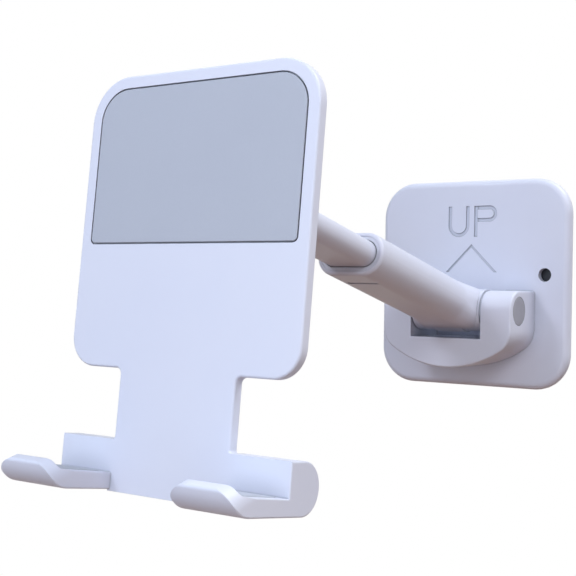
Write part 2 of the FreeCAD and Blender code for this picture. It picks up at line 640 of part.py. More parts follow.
def make_sleeve():
    """Outer half of the arm: a flat knuckle that grows into a hollow rounded sleeve."""
    body = new_body("arm_sleeve")
    root_corner = "(Dims.sleeve_root / 2 - Dims.flat_rest / 2)"
    tip_corner = "(Dims.sleeve_tip / 2 - Dims.flat_rest / 2)"
    root = new_sketch(body, "root_section", FACING_FRONT, "0")
    add_loop(root, section(KNUCKLE_WIDTH, "Dims.sleeve_root", "Dims.cheek_corner"))
    shoulder = new_sketch(body, "shoulder_section", FACING_FRONT, "Dims.shoulder_reach")
    add_loop(shoulder, section("Dims.sleeve_width", "Dims.sleeve_root", root_corner))
    tip = new_sketch(body, "tip_section", FACING_FRONT, "Dims.sleeve_reach")
    add_loop(tip, section("Dims.sleeve_width", "Dims.sleeve_tip", tip_corner))
    loft(body, "shoulder", root, shoulder)
    loft(body, "barrel", shoulder, tip)
    mouth = -size("Dims.sleeve_reach")
    round_edges(body, "mouth_rim", "Dims.mouth_round", lambda box: at(box.YMin, box.YMax, mouth))

    knuckle = new_sketch(body, "knuckle_sketch", ALONG_X, "0")
    add_circle(knuckle, "0", "0", "Dims.sleeve_root / 2")
    extrude(body, "knuckle", knuckle, KNUCKLE_WIDTH, both_ways=True)
    lug = new_sketch(body, "lug_sketch", ALONG_X, "0")
    add_circle(lug, "0", "0", "Dims.sleeve_root / 2 + Dims.lug_rise")
    extrude(body, "stop_lug", lug, "Dims.lug_width", both_ways=True)

    bore = new_sketch(body, "bore_sketch", FACING_FRONT, "Dims.sleeve_reach")
    add_loop(bore, section("Dims.bore_width", "Dims.bore_height", BORE_CORNER))
    extrude(body, "bore", bore, "Dims.sleeve_reach - Dims.bore_reach", cut=True)

    window = new_sketch(body, "window_sketch", LEVEL, minus("Dims.sleeve_root / 2"))
    near = minus("Dims.sleeve_reach - Dims.window_setback")
    far = minus("Dims.sleeve_reach - Dims.window_setback - Dims.window_length")
    add_loop(window, oblong("(Dims.window_width / 2)", near, far, None))
    extrude(body, "catch_window", window, "Dims.sleeve_root / 2 - Dims.bore_height / 2 + 0.3",
            reverse=True, cut=True)

    shaft = new_sketch(body, "shaft_sketch", ALONG_X, "0")
    add_circle(shaft, "0", "0", SHAFT_HOLE)
    extrude(body, "shaft_hole", shaft, "%s + 2" % KNUCKLE_WIDTH, both_ways=True, cut=True)
    place_on_sleeve(body)


def make_bush():
    """Bush in the mouth that guides the tube; its catch snaps into the sleeve's window."""
    body = new_body("mouth_bush")
    front = "(Dims.sleeve_reach - Dims.bush_setback)"
    ring = new_sketch(body, "ring_sketch", FACING_FRONT, "%s - Dims.bush_length" % front)
    outer_width = "(Dims.bore_width - 2 * Dims.bush_clearance)"
    outer_height = "(Dims.bore_height - 2 * Dims.bush_clearance)"
    add_loop(ring, section(outer_width, outer_height, "%s - Dims.bush_clearance" % BORE_CORNER))
    add_loop(ring, section("(Dims.tube_width + 2 * Dims.slide_gap)",
                           "(Dims.tube_height + 2 * Dims.slide_gap)",
                           "%s + Dims.slide_gap" % TUBE_CORNER))
    extrude(body, "ring", ring, "Dims.bush_length")
    catch = new_sketch(body, "catch_sketch", LEVEL, "0.2 - %s / 2" % outer_height)
    near = minus("Dims.sleeve_reach - Dims.window_setback - Dims.catch_gap")
    far = minus("Dims.sleeve_reach - Dims.window_setback - Dims.window_length + Dims.catch_gap")
    add_loop(catch, oblong("(Dims.window_width / 2 - Dims.catch_gap)", near, far, None))
    extrude(body, "catch", catch, "Dims.catch_rise + 0.2", reverse=True)
    place_on_sleeve(body)


def make_tube():
    """Sliding inner tube, hollow from its inner end, with the tilt knuckle moulded on."""
    body = new_body("arm_tube")
    end = new_sketch(body, "end_section", FACING_FRONT, minus(TUBE_LENGTH))
    add_loop(end, section("Dims.tube_width", "Dims.tube_height", TUBE_CORNER))
    extrude(body, "barrel", end, "%s - Dims.tube_shoulder" % TUBE_LENGTH)
    shoulder = new_sketch(body, "shoulder_section", FACING_FRONT, minus("Dims.tube_shoulder"))
    add_loop(shoulder, section("Dims.tube_width", "Dims.tube_height", TUBE_CORNER))
    neck = new_sketch(body, "neck_section", FACING_FRONT, "0")
    add_loop(neck, section("Dims.tube_width", "Dims.tube_knuckle", "Dims.tube_cheek"))
    loft(body, "shoulder", shoulder, neck)
    knuckle = new_sketch(body, "knuckle_sketch", ALONG_X, "0")
    add_circle(knuckle, "0", "0", "Dims.tube_knuckle / 2")
    extrude(body, "knuckle", knuckle, "Dims.tube_width", both_ways=True)
    hollow = new_sketch(body, "hollow_sketch", FACING_FRONT, minus(TUBE_LENGTH))
    add_loop(hollow, section("(Dims.tube_width - 2 * Dims.tube_wall)",
                             "(Dims.tube_height - 2 * Dims.tube_wall)",
                             "%s - Dims.tube_wall" % TUBE_CORNER))
    extrude(body, "hollow", hollow, "%s - Dims.tube_solid" % TUBE_LENGTH, reverse=True, cut=True)
    shaft = new_sketch(body, "shaft_sketch", ALONG_X, "0")
    add_circle(shaft, "0", "0", TILT_HOLE)
    extrude(body, "shaft_hole", shaft, "Dims.tube_width + 2", both_ways=True, cut=True)
    place_on_tube(body)


def make_glide():
    """Glide on the tube's inner end: it runs in the bore and stops against the bush."""
    body = new_body("tube_glide")
    inner_end = "(%s + Dims.glide_floor)" % TUBE_LENGTH
    outer = new_sketch(body, "outer_sketch", FACING_FRONT, minus(inner_end))
    add_loop(outer, section("(Dims.bore_width - 2 * Dims.glide_gap)",
                            "(Dims.bore_height - 2 * Dims.glide_gap)",
                            "%s - Dims.glide_gap" % BORE_CORNER))
    extrude(body, "outer", outer, "Dims.glide_floor + Dims.glide_length")
    front = "(%s - Dims.glide_length)" % TUBE_LENGTH
    socket = new_sketch(body, "socket_sketch", FACING_FRONT, minus(front))
    add_loop(socket, section("(Dims.tube_width + 2 * Dims.glide_fit)",
                             "(Dims.tube_height + 2 * Dims.glide_fit)",
                             "%s + Dims.glide_fit" % TUBE_CORNER))
    extrude(body, "socket", socket, "Dims.glide_length", cut=True)
    plug = new_sketch(body, "plug_sketch", FACING_FRONT, minus(TUBE_LENGTH))
    wall = "(Dims.tube_wall + Dims.glide_fit)"
    add_loop(plug, section("(Dims.tube_width - 2 * %s)" % wall, "(Dims.tube_height - 2 * %s)" % wall,
                           "%s - %s" % (TUBE_CORNER, wall)))
    extrude(body, "plug", plug, "Dims.plug_length")
    place_on_tube(body)


def mirrored_loop(corners):
    """The same corners on the other side of the sketch's vertical."""
    return [(minus(across), up, radius) for across, up, radius in reversed(corners)]


def holder_outline():
    """Corners of the holder seen from the front: wide top, stem, and the hooks' backs."""
    low = minus("Dims.holder_drop")
    inside_hook = "(Dims.ledge_root / 2 - Dims.holder_drop)"
    foot = "(%s + 2 * Dims.hook_edge)" % STEM_HALF
    shoulder = minus("Dims.shoulder_drop")
    right = [
        (foot, low, None), (foot, inside_hook, None), (HOLDER_HALF, inside_hook, None),
        (HOLDER_HALF, BAR_TOP, None), (STEM_HALF, BAR_TOP, "Dims.hip_corner"),
        (STEM_HALF, shoulder, "Dims.armpit_corner"), (HOLDER_HALF, shoulder, "Dims.shoulder_corner"),
        (HOLDER_HALF, "Dims.holder_rise", "Dims.top_corner")]
    return right + mirrored_loop(right)


def hook_outline():
    """Side view of a hook: rounded back bar, rising ledge and a lip that leans forward."""
    face = "Dims.pivot_depth"
    low = minus("Dims.holder_drop")
    lean = "tan(Dims.lip_lean)"
    tip_out = "(Dims.lip_reach + Dims.lip_rise * %s)" % lean
    foot = "((Dims.bar_depth + Dims.lip_reach) * tan(Dims.under_slope))"
    slope = "tan(Dims.ledge_slope)"
    back_line = "(Dims.lip_reach - Dims.lip_wall / cos(Dims.lip_lean) + Dims.ledge_root * %s)" % lean
    throat = "(%s / (1 - %s * %s))" % (back_line, slope, lean)

    def corner(out, up, radius):
        return ("-(%s) - (%s)" % (face, out), "%s + (%s)" % (low, up), radius)

    return [
        corner(minus("Dims.bar_depth"), "0", "Dims.bar_round"),
        corner("Dims.lip_reach + %s * %s" % (foot, lean), foot, "Dims.lip_bend"),
        corner(tip_out, "Dims.lip_rise", "Dims.lip_tip"),
        corner("%s - Dims.lip_wall * cos(Dims.lip_lean)" % tip_out,
               "Dims.lip_rise + Dims.lip_wall * sin(Dims.lip_lean)", "Dims.lip_tip"),
        corner(throat, "Dims.ledge_root + %s * %s" % (throat, slope), "Dims.lip_throat"),
        corner("0", "Dims.ledge_root", None),
        corner("0", "Dims.bar_height", None),
        corner(minus("Dims.bar_depth"), "Dims.bar_height", "Dims.bar_round")]


def lip_corner_loops():
    """What is cut off a lip, in the plane of its front face, to round its two corners."""
    radius = "Dims.lip_corner"
    inner, outer = STEM_HALF, HOLDER_HALF
    return [
        [("%s + 1" % outer, "1", None), ("%s - %s - 1" % (outer, radius), "1", None),
         ("%s - %s - 1" % (outer, radius), "0", None), (outer, "0", radius),
         (outer, "-%s - 1" % radius, None), ("%s + 1" % outer, "-%s - 1" % radius, None)],
        [("%s - 1" % inner, "1", None), ("%s - 1" % inner, "-%s - 1" % radius, None),
         (inner, "-%s - 1" % radius, None), (inner, "0", radius),
         ("%s + %s + 1" % (inner, radius), "0", None), ("%s + %s + 1" % (inner, radius), "1", None)]]


def make_holder():
    """Holder plate with both hooks and the ears of the tilt hinge, moulded in one piece."""
    body = new_body("phone_plate")
    plate = new_sketch(body, "holder_sketch", FACING_FRONT, HOLDER_BACK)
    add_loop(plate, holder_outline())
    extrude(body, "holder", plate, "Dims.holder_thickness")
    front = -size("Dims.pivot_depth")
    bar_top = size(BAR_TOP)
    back_face = -size(HOLDER_BACK)
    round_edges(body, "holder_rim", "Dims.holder_edge",
                lambda box: at(box.YMin, box.YMax, front) and box.ZMin > bar_top - TOUCH)

    hook = new_sketch(body, "hook_sketch", ALONG_X, STEM_HALF)
    add_loop(hook, hook_outline())
    hook_pad = extrude(body, "hook", hook, HOOK_WIDTH)
    mirror(body, "left_hook", [hook_pad])
    outer, inner = size(HOLDER_HALF), size(STEM_HALF)
    for side, name in ((1, "right"), (-1, "left")):
        round_edges(body, name + "_hook_softened", "Dims.hook_edge",
                    lambda box: box.ZMax < bar_top + TOUCH and (
                        at(box.XMin, box.XMax, side * outer) or at(box.XMin, box.XMax, side * inner)
                        and box.YMax < front + TOUCH and box.YMin < front - TOUCH))
    tip_out = "(Dims.lip_reach + Dims.lip_rise * tan(Dims.lip_lean))"
    lip = new_sketch(body, "lip_sketch", FACING_FRONT, "Dims.pivot_depth + %s" % tip_out,
                     rise="Dims.lip_rise - Dims.holder_drop", lean="Dims.lip_lean")
    for loop in lip_corner_loops():
        add_loop(lip, loop)
        add_loop(lip, mirrored_loop(loop))
    extrude(body, "lip_corners", lip, "Dims.lip_wall + Dims.lip_bend", cut=True)

    liner = new_sketch(body, "liner_sketch", LEVEL, "Dims.ledge_root - Dims.holder_drop",
                       rise=minus("Dims.pivot_depth"), lean=minus("Dims.ledge_slope"))
    add_loop(liner, liner_outline("0"))
    add_loop(liner, mirrored_loop(liner_outline("0")))
    extrude(body, "liner_recess", liner, "Dims.liner_recess", cut=True)

    ear = new_sketch(body, "ear_sketch", ALONG_X, TILT_GAP)
    back = minus(HOLDER_BACK)
    add_loop(ear, [
        (back, minus("Dims.ear_root"), None), ("Dims.ear_round", minus("Dims.ear_round"), "Dims.ear_round - 0.3"),
        ("Dims.ear_round", "Dims.ear_round", "Dims.ear_round - 0.3"), (back, "Dims.ear_root", None)])
    ear_pad = extrude(body, "ear", ear, "Dims.ear_thickness")
    mirror(body, "left_ear", [ear_pad])
    ear_face = size(TILT_FACE)
    round_edges(body, "ears_softened", "Dims.ear_edge",
                lambda box: at(abs(box.XMin), abs(box.XMax), ear_face) and box.XMin * box.XMax > 0
                and box.YMax > back_face + TOUCH)
    cut_pin_seat(body, "tilt", TILT_FACE, ("0", "0"),
                 (TILT_HOLE, TILT_SEAT, "Dims.tilt_cap_height", "Dims.tilt_nut + 0.1", "Dims.tilt_pocket"))

    recess = new_sketch(body, "pad_recess_sketch", FACING_FRONT, "Dims.pivot_depth")
    add_loop(recess, pad_outline("0"))
    extrude(body, "pad_recess", recess, "Dims.pad_recess", cut=True)
    place_on_holder(body)


def pad_outline(margin):
    """Corners of the front pad's recess, or of what lies in it with a margin."""
    half = "(%s - %s)" % (PAD_HALF, margin)
    low = "(%s - Dims.pad_drop)" % margin
    high = "(Dims.holder_rise - Dims.pad_inset - %s)" % margin
    upper = "Dims.top_corner - Dims.pad_inset - %s" % margin
    lower = "Dims.pad_corner - %s" % margin
    return [(minus(half), low, lower), (half, low, lower), (half, high, upper), (minus(half), high, upper)]


def liner_outline(margin):
    """Corners of a hook liner's recess on the ledge, or of what lies in it with a margin."""
    inner = "(%s + Dims.liner_side + %s)" % (STEM_HALF, margin)
    outer = "(%s - Dims.liner_side - %s)" % (HOLDER_HALF, margin)
    near = "-(Dims.liner_start + %s)" % margin
    far = "-(Dims.liner_start + Dims.liner_length - %s)" % margin
    radius = "Dims.liner_corner - %s" % margin
    return [(inner, far, radius), (outer, far, radius), (outer, near, radius), (inner, near, radius)]


def make_front_pad():
    """Soft pad let into the holder."""
    body = new_body("front_pad")
    sketch = new_sketch(body, "pad_sketch", FACING_FRONT, "Dims.pivot_depth - Dims.pad_recess")
    add_loop(sketch, pad_outline("Dims.pad_groove"))
    extrude(body, "pad", sketch, "Dims.pad_thickness")
    place_on_holder(body)


def make_hook_liner(name, side):
    """Soft liner let into the ledge of a hook."""
    body = new_body(name)
    floor = "Dims.ledge_root - Dims.holder_drop - Dims.liner_recess * cos(Dims.ledge_slope)"
    back = "-Dims.pivot_depth - Dims.liner_recess * sin(Dims.ledge_slope)"
    sketch = new_sketch(body, name + "_sketch", LEVEL, floor, rise=back, lean=minus("Dims.ledge_slope"))
    corners = liner_outline("Dims.liner_groove")
    add_loop(sketch, corners if side > 0 else mirrored_loop(corners))
    extrude(body, name + "_pad", sketch, "Dims.liner_thickness")
    place_on_holder(body)


def make_tilt_pin():
    """Everything on the tilt pin: screw, nut, washers and the two caps."""
    shoulder = "(%s - Dims.tilt_pocket)" % TILT_FACE
    seat = "(%s + Dims.tilt_disc)" % shoulder
    tail = "(%s + Dims.tilt_nut_height + 0.3)" % shoulder
    make_screw("tilt_screw", place_on_holder, "Dims.tilt_width",
               ("Dims.tilt_head", "Dims.tilt_head_height"), "Dims.tilt_socket", seat, tail)
    make_nut("tilt_nut", place_on_holder, "Dims.tilt_nut", TILT_HOLE, shoulder, "Dims.tilt_nut_height")
    make_dished_washer("tilt_spring_washer", place_on_holder, shoulder, "Dims.tilt_disc",
                       "Dims.tilt_head / 2", "(Dims.tilt_width / 2 + 0.2)")
    make_ring("tilt_washer_right", place_on_holder, "Dims.tube_width / 2",
              "Dims.washer_height", "Dims.tilt_washer / 2", TILT_HOLE)
    make_ring("tilt_washer_left", place_on_holder, minus(TILT_GAP),
              "Dims.washer_height", "Dims.tilt_washer / 2", TILT_HOLE)
    room = "(Dims.tilt_pocket - Dims.tilt_cap_height - Dims.tilt_disc - Dims.tilt_head_height - 0.1)"
    make_cap("tilt_cap_right", place_on_holder, TILT_FACE, "Dims.tilt_cap_height",
             "Dims.tilt_cap / 2", 1, room)
    room = "(Dims.tilt_pocket - Dims.tilt_cap_height - Dims.tilt_nut_height - 0.4)"
    make_cap("tilt_cap_left", place_on_holder, TILT_FACE, "Dims.tilt_cap_height",
             "Dims.tilt_cap / 2", -1, room)


def check_document():
    """Stop if any object failed to compute or any piece has no sound solid."""
    for item in document.Objects:
        if "Invalid" in item.State or "Error" in item.State:
            raise RuntimeError("%s did not compute: %s" % (item.Label, item.State))
    bodies = [item for item in document.Objects if item.isDerivedFrom("PartDesign::Body")]
    for body in bodies:
        shape = body.Shape
        if shape.isNull() or not shape.isValid() or not shape.Solids:
            raise RuntimeError("%s has no sound solid" % body.Label)
    return bodies


def main():
    fill_sheet()
    make_wall_base()
    make_foam_sheet()
    make_pitch_pin()
    make_sleeve()
    make_bush()
    make_tube()
    make_glide()
    make_holder()
    make_front_pad()
    make_hook_liner("hook_liner_right", 1)
    make_hook_liner("hook_liner_left", -1)
    make_tilt_pin()
    document.recompute()
    bodies = check_document()
    os.makedirs("parts", exist_ok=True)
    for body in bodies:
        body.Shape.exportStep(os.path.join("parts", body.Label + ".step"))
        print("%-20s solids %d  volume %9.2f mm3" % (body.Label, len(body.Shape.Solids), body.Shape.Volume))


main()
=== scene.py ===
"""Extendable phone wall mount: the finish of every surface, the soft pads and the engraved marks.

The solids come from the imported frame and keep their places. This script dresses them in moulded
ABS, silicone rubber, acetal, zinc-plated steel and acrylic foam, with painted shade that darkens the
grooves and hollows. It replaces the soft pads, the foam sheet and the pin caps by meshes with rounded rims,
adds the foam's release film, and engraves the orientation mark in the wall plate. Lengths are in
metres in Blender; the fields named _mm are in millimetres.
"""

import logging
import math
from dataclasses import dataclass, field
from enum import Enum
from typing import Callable, Dict, List, Sequence, Tuple, Union

import bmesh
import bpy
from mathutils import Matrix, Vector


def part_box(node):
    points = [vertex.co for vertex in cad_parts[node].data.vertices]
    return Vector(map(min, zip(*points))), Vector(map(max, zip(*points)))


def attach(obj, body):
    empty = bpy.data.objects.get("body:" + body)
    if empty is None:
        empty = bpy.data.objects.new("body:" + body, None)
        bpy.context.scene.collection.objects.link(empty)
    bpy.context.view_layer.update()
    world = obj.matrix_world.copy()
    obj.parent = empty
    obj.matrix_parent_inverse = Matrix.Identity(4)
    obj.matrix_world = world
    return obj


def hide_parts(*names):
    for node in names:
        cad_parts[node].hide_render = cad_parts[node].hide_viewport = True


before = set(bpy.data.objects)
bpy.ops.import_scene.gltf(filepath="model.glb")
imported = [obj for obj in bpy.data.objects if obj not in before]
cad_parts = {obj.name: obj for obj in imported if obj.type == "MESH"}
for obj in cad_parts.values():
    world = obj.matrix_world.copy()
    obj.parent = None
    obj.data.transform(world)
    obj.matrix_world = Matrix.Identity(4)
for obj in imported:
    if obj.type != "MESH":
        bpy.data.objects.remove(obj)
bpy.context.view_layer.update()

LOG = logging.getLogger("wall_mount")
MM = 0.001
FRAME_PIXELS = 576
# Painted shade: share of open sky round a point, from where the painted shade is darkest to where none is
# painted.
SHADED_SKY, UNSHADED_SKY = 0.35, 0.85
# Bands that a wave texture of scale one draws in a metre.
WAVE_BANDS = 20.0 / (2.0 * math.pi)
# Edges that turn by less than this are shaded smooth, in degrees.
SMOOTH_DEG = 32.0

Colour = Tuple[float, float, float, float]
Point2 = Tuple[float, float]


def millimetres(length: float) -> float:
    """Turn millimetres into Blender's metres."""
    return length * MM


def linear(hex_code: str) -> Colour:
    """Turn an sRGB hex code into a linear colour.

    Args:
        hex_code: six hexadecimal digits, such as "DDE1EE".

    Returns:
        Red, green, blue and an alpha of one, all linear.
    """
    channels = []
    for start in (0, 2, 4):
        value = int(hex_code[start:start + 2], 16) / 255
        channels.append(value / 12.92 if value <= 0.04045 else ((value + 0.055) / 1.055) ** 2.4)
    return (channels[0], channels[1], channels[2], 1.0)


def add_node(tree: bpy.types.NodeTree, kind: str, inputs: Dict[Union[str, int], object] = None,
             **settings: object) -> bpy.types.Node:
    """Add one shader node with its settings and links.

    Args:
        tree: the node tree that gets the node.
        kind: Blender's identifier, such as "ShaderNodeBump".
        inputs: socket name or number, and the value or the output that goes into it.
        settings: properties of the node itself.

    Returns:
        The new node.
    """
    node = tree.nodes.new(kind)
    for name, value in settings.items():
        setattr(node, name, value)
    for socket, value in (inputs or {}).items():
        if isinstance(value, bpy.types.NodeSocket):
            tree.links.new(value, node.inputs[socket])
        else:
            node.inputs[socket].default_value = value
    return node


def per_metre(pattern_mm: float) -> float:
    """Scale of a texture whose features are that many millimetres apart."""
    return 1.0 / millimetres(pattern_mm)


def painted_crevice_shade(tree: bpy.types.NodeTree, colour: bpy.types.NodeSocket, reach_mm: float,
                strength: float) -> bpy.types.NodeSocket:
    """Darken a colour as painted shade in grooves, engraved strokes and inner corners, where little open sky
    reaches.

    Args:
        tree: the node tree that gets the nodes.
        colour: the clean colour.
        reach_mm: how far from an inner corner the painted shade reaches.
        strength: how dark the deepest places get, from 0 to 1.

    Returns:
        The colour with painted shade.
    """
    # Painted shade: ambient occlusion darkens the base colour where a point sees little open sky.
    open_sky = add_node(tree, "ShaderNodeAmbientOcclusion", {"Distance": millimetres(reach_mm)},
                        samples=8, only_local=False)
    share = add_node(tree, "ShaderNodeMapRange", {
        "Value": open_sky.outputs["AO"], "From Min": SHADED_SKY, "From Max": UNSHADED_SKY,
        "To Min": 1.0 - strength, "To Max": 1.0})
    shaded_colour = add_node(tree, "ShaderNodeVectorMath", {0: colour, "Scale": share.outputs["Result"]},
                      operation="SCALE")
    return shaded_colour.outputs["Vector"]


class Finish:
    """A surface as it is made. Each kind of finish builds one material and shares it."""

    title: str = "finish"

    def paint(self, tree: bpy.types.NodeTree, shader: bpy.types.Node) -> None:
        """Fill the shader of a new material.

        Args:
            tree: the material's node tree.
            shader: its principled shader.
        """
        raise NotImplementedError

    def material(self) -> bpy.types.Material:
        """Return the material, made when it is first asked for.

        Returns:
            The material of this finish.
        """
        found = bpy.data.materials.get(self.title)
        if found is not None:
            return found
        made = bpy.data.materials.new(self.title)
        made.use_nodes = True
        tree = made.node_tree
        tree.nodes.clear()
        shader = add_node(tree, "ShaderNodeBsdfPrincipled")
        add_node(tree, "ShaderNodeOutputMaterial", {"Surface": shader.outputs["BSDF"]})
        self.paint(tree, shader)
        return made


@dataclass(frozen=True)
class MouldedAbs(Finish):
    """Injection-moulded ABS from a spark-eroded mould: satin, with no gloss and soft edges."""

    title: str = "moulded_abs_white"
    body_hex: str = "E1E5F2"
    flow_hex: str = "DBE0F0"
    grain_mm: float = 0.35
    flow_mm: float = 24.0
    sink_mm: float = 9.0
    sink_depth_mm: float = 0.12
    grain_depth_mm: float = 0.02
    edge_mm: float = 0.18
    crevice_shade_mm: float = 0.8
    crevice_shade_strength: float = 0.32
    hollow_shade_mm: float = 7.0
    hollow_shade_strength: float = 0.24
    roughness: Tuple[float, float] = (0.40, 0.50)
    ior: float = 1.53

    def paint(self, tree: bpy.types.NodeTree, shader: bpy.types.Node) -> None:
        """Colour drifts slowly with the melt's flow; the eye reads the fine grain as satin.

        Args:
            tree: the material's node tree.
            shader: its principled shader.
        """
        place = add_node(tree, "ShaderNodeTexCoord").outputs["Object"]
        # Melt flow: a drift of colour over a couple of centimetres, barely seen, keeps it from looking flat.
        flow = add_node(tree, "ShaderNodeTexNoise", {
            "Vector": place, "Scale": per_metre(self.flow_mm), "Detail": 3.0, "Roughness": 0.55})
        tint = add_node(tree, "ShaderNodeMix", {
            "Factor": flow.outputs["Fac"], "A": linear(self.body_hex), "B": linear(self.flow_hex)},
            data_type="RGBA")
        # Painted shade: the colour darkens along inner corners, and more broadly in deep hollows.
        crevice_shaded = painted_crevice_shade(tree, tint.outputs[2], self.crevice_shade_mm, self.crevice_shade_strength)
        hollow_shaded = painted_crevice_shade(tree, crevice_shaded, self.hollow_shade_mm, self.hollow_shade_strength)
        tree.links.new(hollow_shaded, shader.inputs["Base Color"])
        # Spark-eroded grain is about 0.05 mm; it is drawn coarser, at grain_mm, so that it shows.
        grain = add_node(tree, "ShaderNodeTexNoise", {
            "Vector": place, "Scale": per_metre(self.grain_mm), "Detail": 2.0, "Roughness": 0.6})
        satin = add_node(tree, "ShaderNodeMapRange", {
            "Value": grain.outputs["Fac"], "To Min": self.roughness[0], "To Max": self.roughness[1]})
        tree.links.new(satin.outputs["Result"], shader.inputs["Roughness"])
        # Sink: the wall cools unevenly, so wide highlights wander by a hair.
        sink = add_node(tree, "ShaderNodeTexNoise", {
            "Vector": place, "Scale": per_metre(self.sink_mm), "Detail": 1.0})
        # No moulded edge is sharp: each one catches a thin line of light.
        edge = add_node(tree, "ShaderNodeBevel", {"Radius": millimetres(self.edge_mm)}, samples=6)
        wander = add_node(tree, "ShaderNodeBump", {
            "Height": sink.outputs["Fac"], "Strength": 0.10, "Distance": millimetres(self.sink_depth_mm),
            "Normal": edge.outputs["Normal"]})
        pitted = add_node(tree, "ShaderNodeBump", {
            "Height": grain.outputs["Fac"], "Strength": 0.12, "Distance": millimetres(self.grain_depth_mm),
            "Normal": wander.outputs["Normal"]})
        tree.links.new(pitted.outputs["Normal"], shader.inputs["Normal"])
        shader.inputs["IOR"].default_value = self.ior


@dataclass(frozen=True)
class SiliconeRubber(Finish):
    """Compression-moulded silicone: matte, dusty to the eye, with a soft sheen at a low angle."""

    title: str = "silicone_grey"
    body_hex: str = "B6BCC8"
    dust_hex: str = "BEC4CF"
    speckle_mm: float = 0.5
    blotch_mm: float = 14.0
    crevice_shade_mm: float = 0.9
    crevice_shade_strength: float = 0.65
    skin_depth_mm: float = 0.03
    roughness: Tuple[float, float] = (0.58, 0.72)
    sheen: float = 0.08
    sheen_roughness: float = 0.4
    ior: float = 1.41

    def paint(self, tree: bpy.types.NodeTree, shader: bpy.types.Node) -> None:
        """A matte body with fine dust-like speckle, as talc-dry silicone has.

        Args:
            tree: the material's node tree.
            shader: its principled shader.
        """
        place = add_node(tree, "ShaderNodeTexCoord").outputs["Object"]
        blotch = add_node(tree, "ShaderNodeTexNoise", {
            "Vector": place, "Scale": per_metre(self.blotch_mm), "Detail": 4.0, "Roughness": 0.6})
        speckle = add_node(tree, "ShaderNodeTexNoise", {
            "Vector": place, "Scale": per_metre(self.speckle_mm), "Detail": 2.0})
        share = add_node(tree, "ShaderNodeMath", {0: blotch.outputs["Fac"], 1: speckle.outputs["Fac"]},
                         operation="MULTIPLY")
        tint = add_node(tree, "ShaderNodeMix", {
            "Factor": share.outputs["Value"], "A": linear(self.body_hex), "B": linear(self.dust_hex)},
            data_type="RGBA")
        # Painted shade: the colour darkens in the grooves round the pads and along their rims.
        crevice_shaded = painted_crevice_shade(tree, tint.outputs[2], self.crevice_shade_mm, self.crevice_shade_strength)
        tree.links.new(crevice_shaded, shader.inputs["Base Color"])
        dull = add_node(tree, "ShaderNodeMapRange", {
            "Value": speckle.outputs["Fac"], "To Min": self.roughness[0], "To Max": self.roughness[1]})
        tree.links.new(dull.outputs["Result"], shader.inputs["Roughness"])
        skin = add_node(tree, "ShaderNodeBump", {
            "Height": speckle.outputs["Fac"], "Strength": 0.18, "Distance": millimetres(self.skin_depth_mm)})
        tree.links.new(skin.outputs["Normal"], shader.inputs["Normal"])
        shader.inputs["IOR"].default_value = self.ior
        shader.inputs["Sheen Weight"].default_value = self.sheen
        shader.inputs["Sheen Roughness"].default_value = self.sheen_roughness


@dataclass(frozen=True)
class Acetal(Finish):
    """Moulded acetal: a smooth, waxy plastic that slides, slightly milky in the light."""

    title: str = "acetal_natural"
    body_hex: str = "DDE2EE"
    wax_hex: str = "D5DAE8"
    streak_mm: float = 5.0
    gap_shade_mm: float = 1.1
    gap_shade_strength: float = 0.5
    edge_mm: float = 0.12
    roughness: Tuple[float, float] = (0.26, 0.36)
    ior: float = 1.48

    def paint(self, tree: bpy.types.NodeTree, shader: bpy.types.Node) -> None:
        """Milky streaks and an even, waxy gloss tell acetal from the satin ABS round it.

        Args:
            tree: the material's node tree.
            shader: its principled shader.
        """
        place = add_node(tree, "ShaderNodeTexCoord").outputs["Object"]
        streak = add_node(tree, "ShaderNodeTexNoise", {
            "Vector": place, "Scale": per_metre(self.streak_mm), "Detail": 3.0, "Distortion": 0.6})
        tint = add_node(tree, "ShaderNodeMix", {
            "Factor": streak.outputs["Fac"], "A": linear(self.body_hex), "B": linear(self.wax_hex)},
            data_type="RGBA")
        # Painted shade: the colour darkens in the slide's small gaps and at the ends of the catch's window.
        gap_shaded = painted_crevice_shade(tree, tint.outputs[2], self.gap_shade_mm, self.gap_shade_strength)
        tree.links.new(gap_shaded, shader.inputs["Base Color"])
        wax = add_node(tree, "ShaderNodeMapRange", {
            "Value": streak.outputs["Fac"], "To Min": self.roughness[0], "To Max": self.roughness[1]})
        tree.links.new(wax.outputs["Result"], shader.inputs["Roughness"])
        edge = add_node(tree, "ShaderNodeBevel", {"Radius": millimetres(self.edge_mm)}, samples=4)
        tree.links.new(edge.outputs["Normal"], shader.inputs["Normal"])
        shader.inputs["IOR"].default_value = self.ior


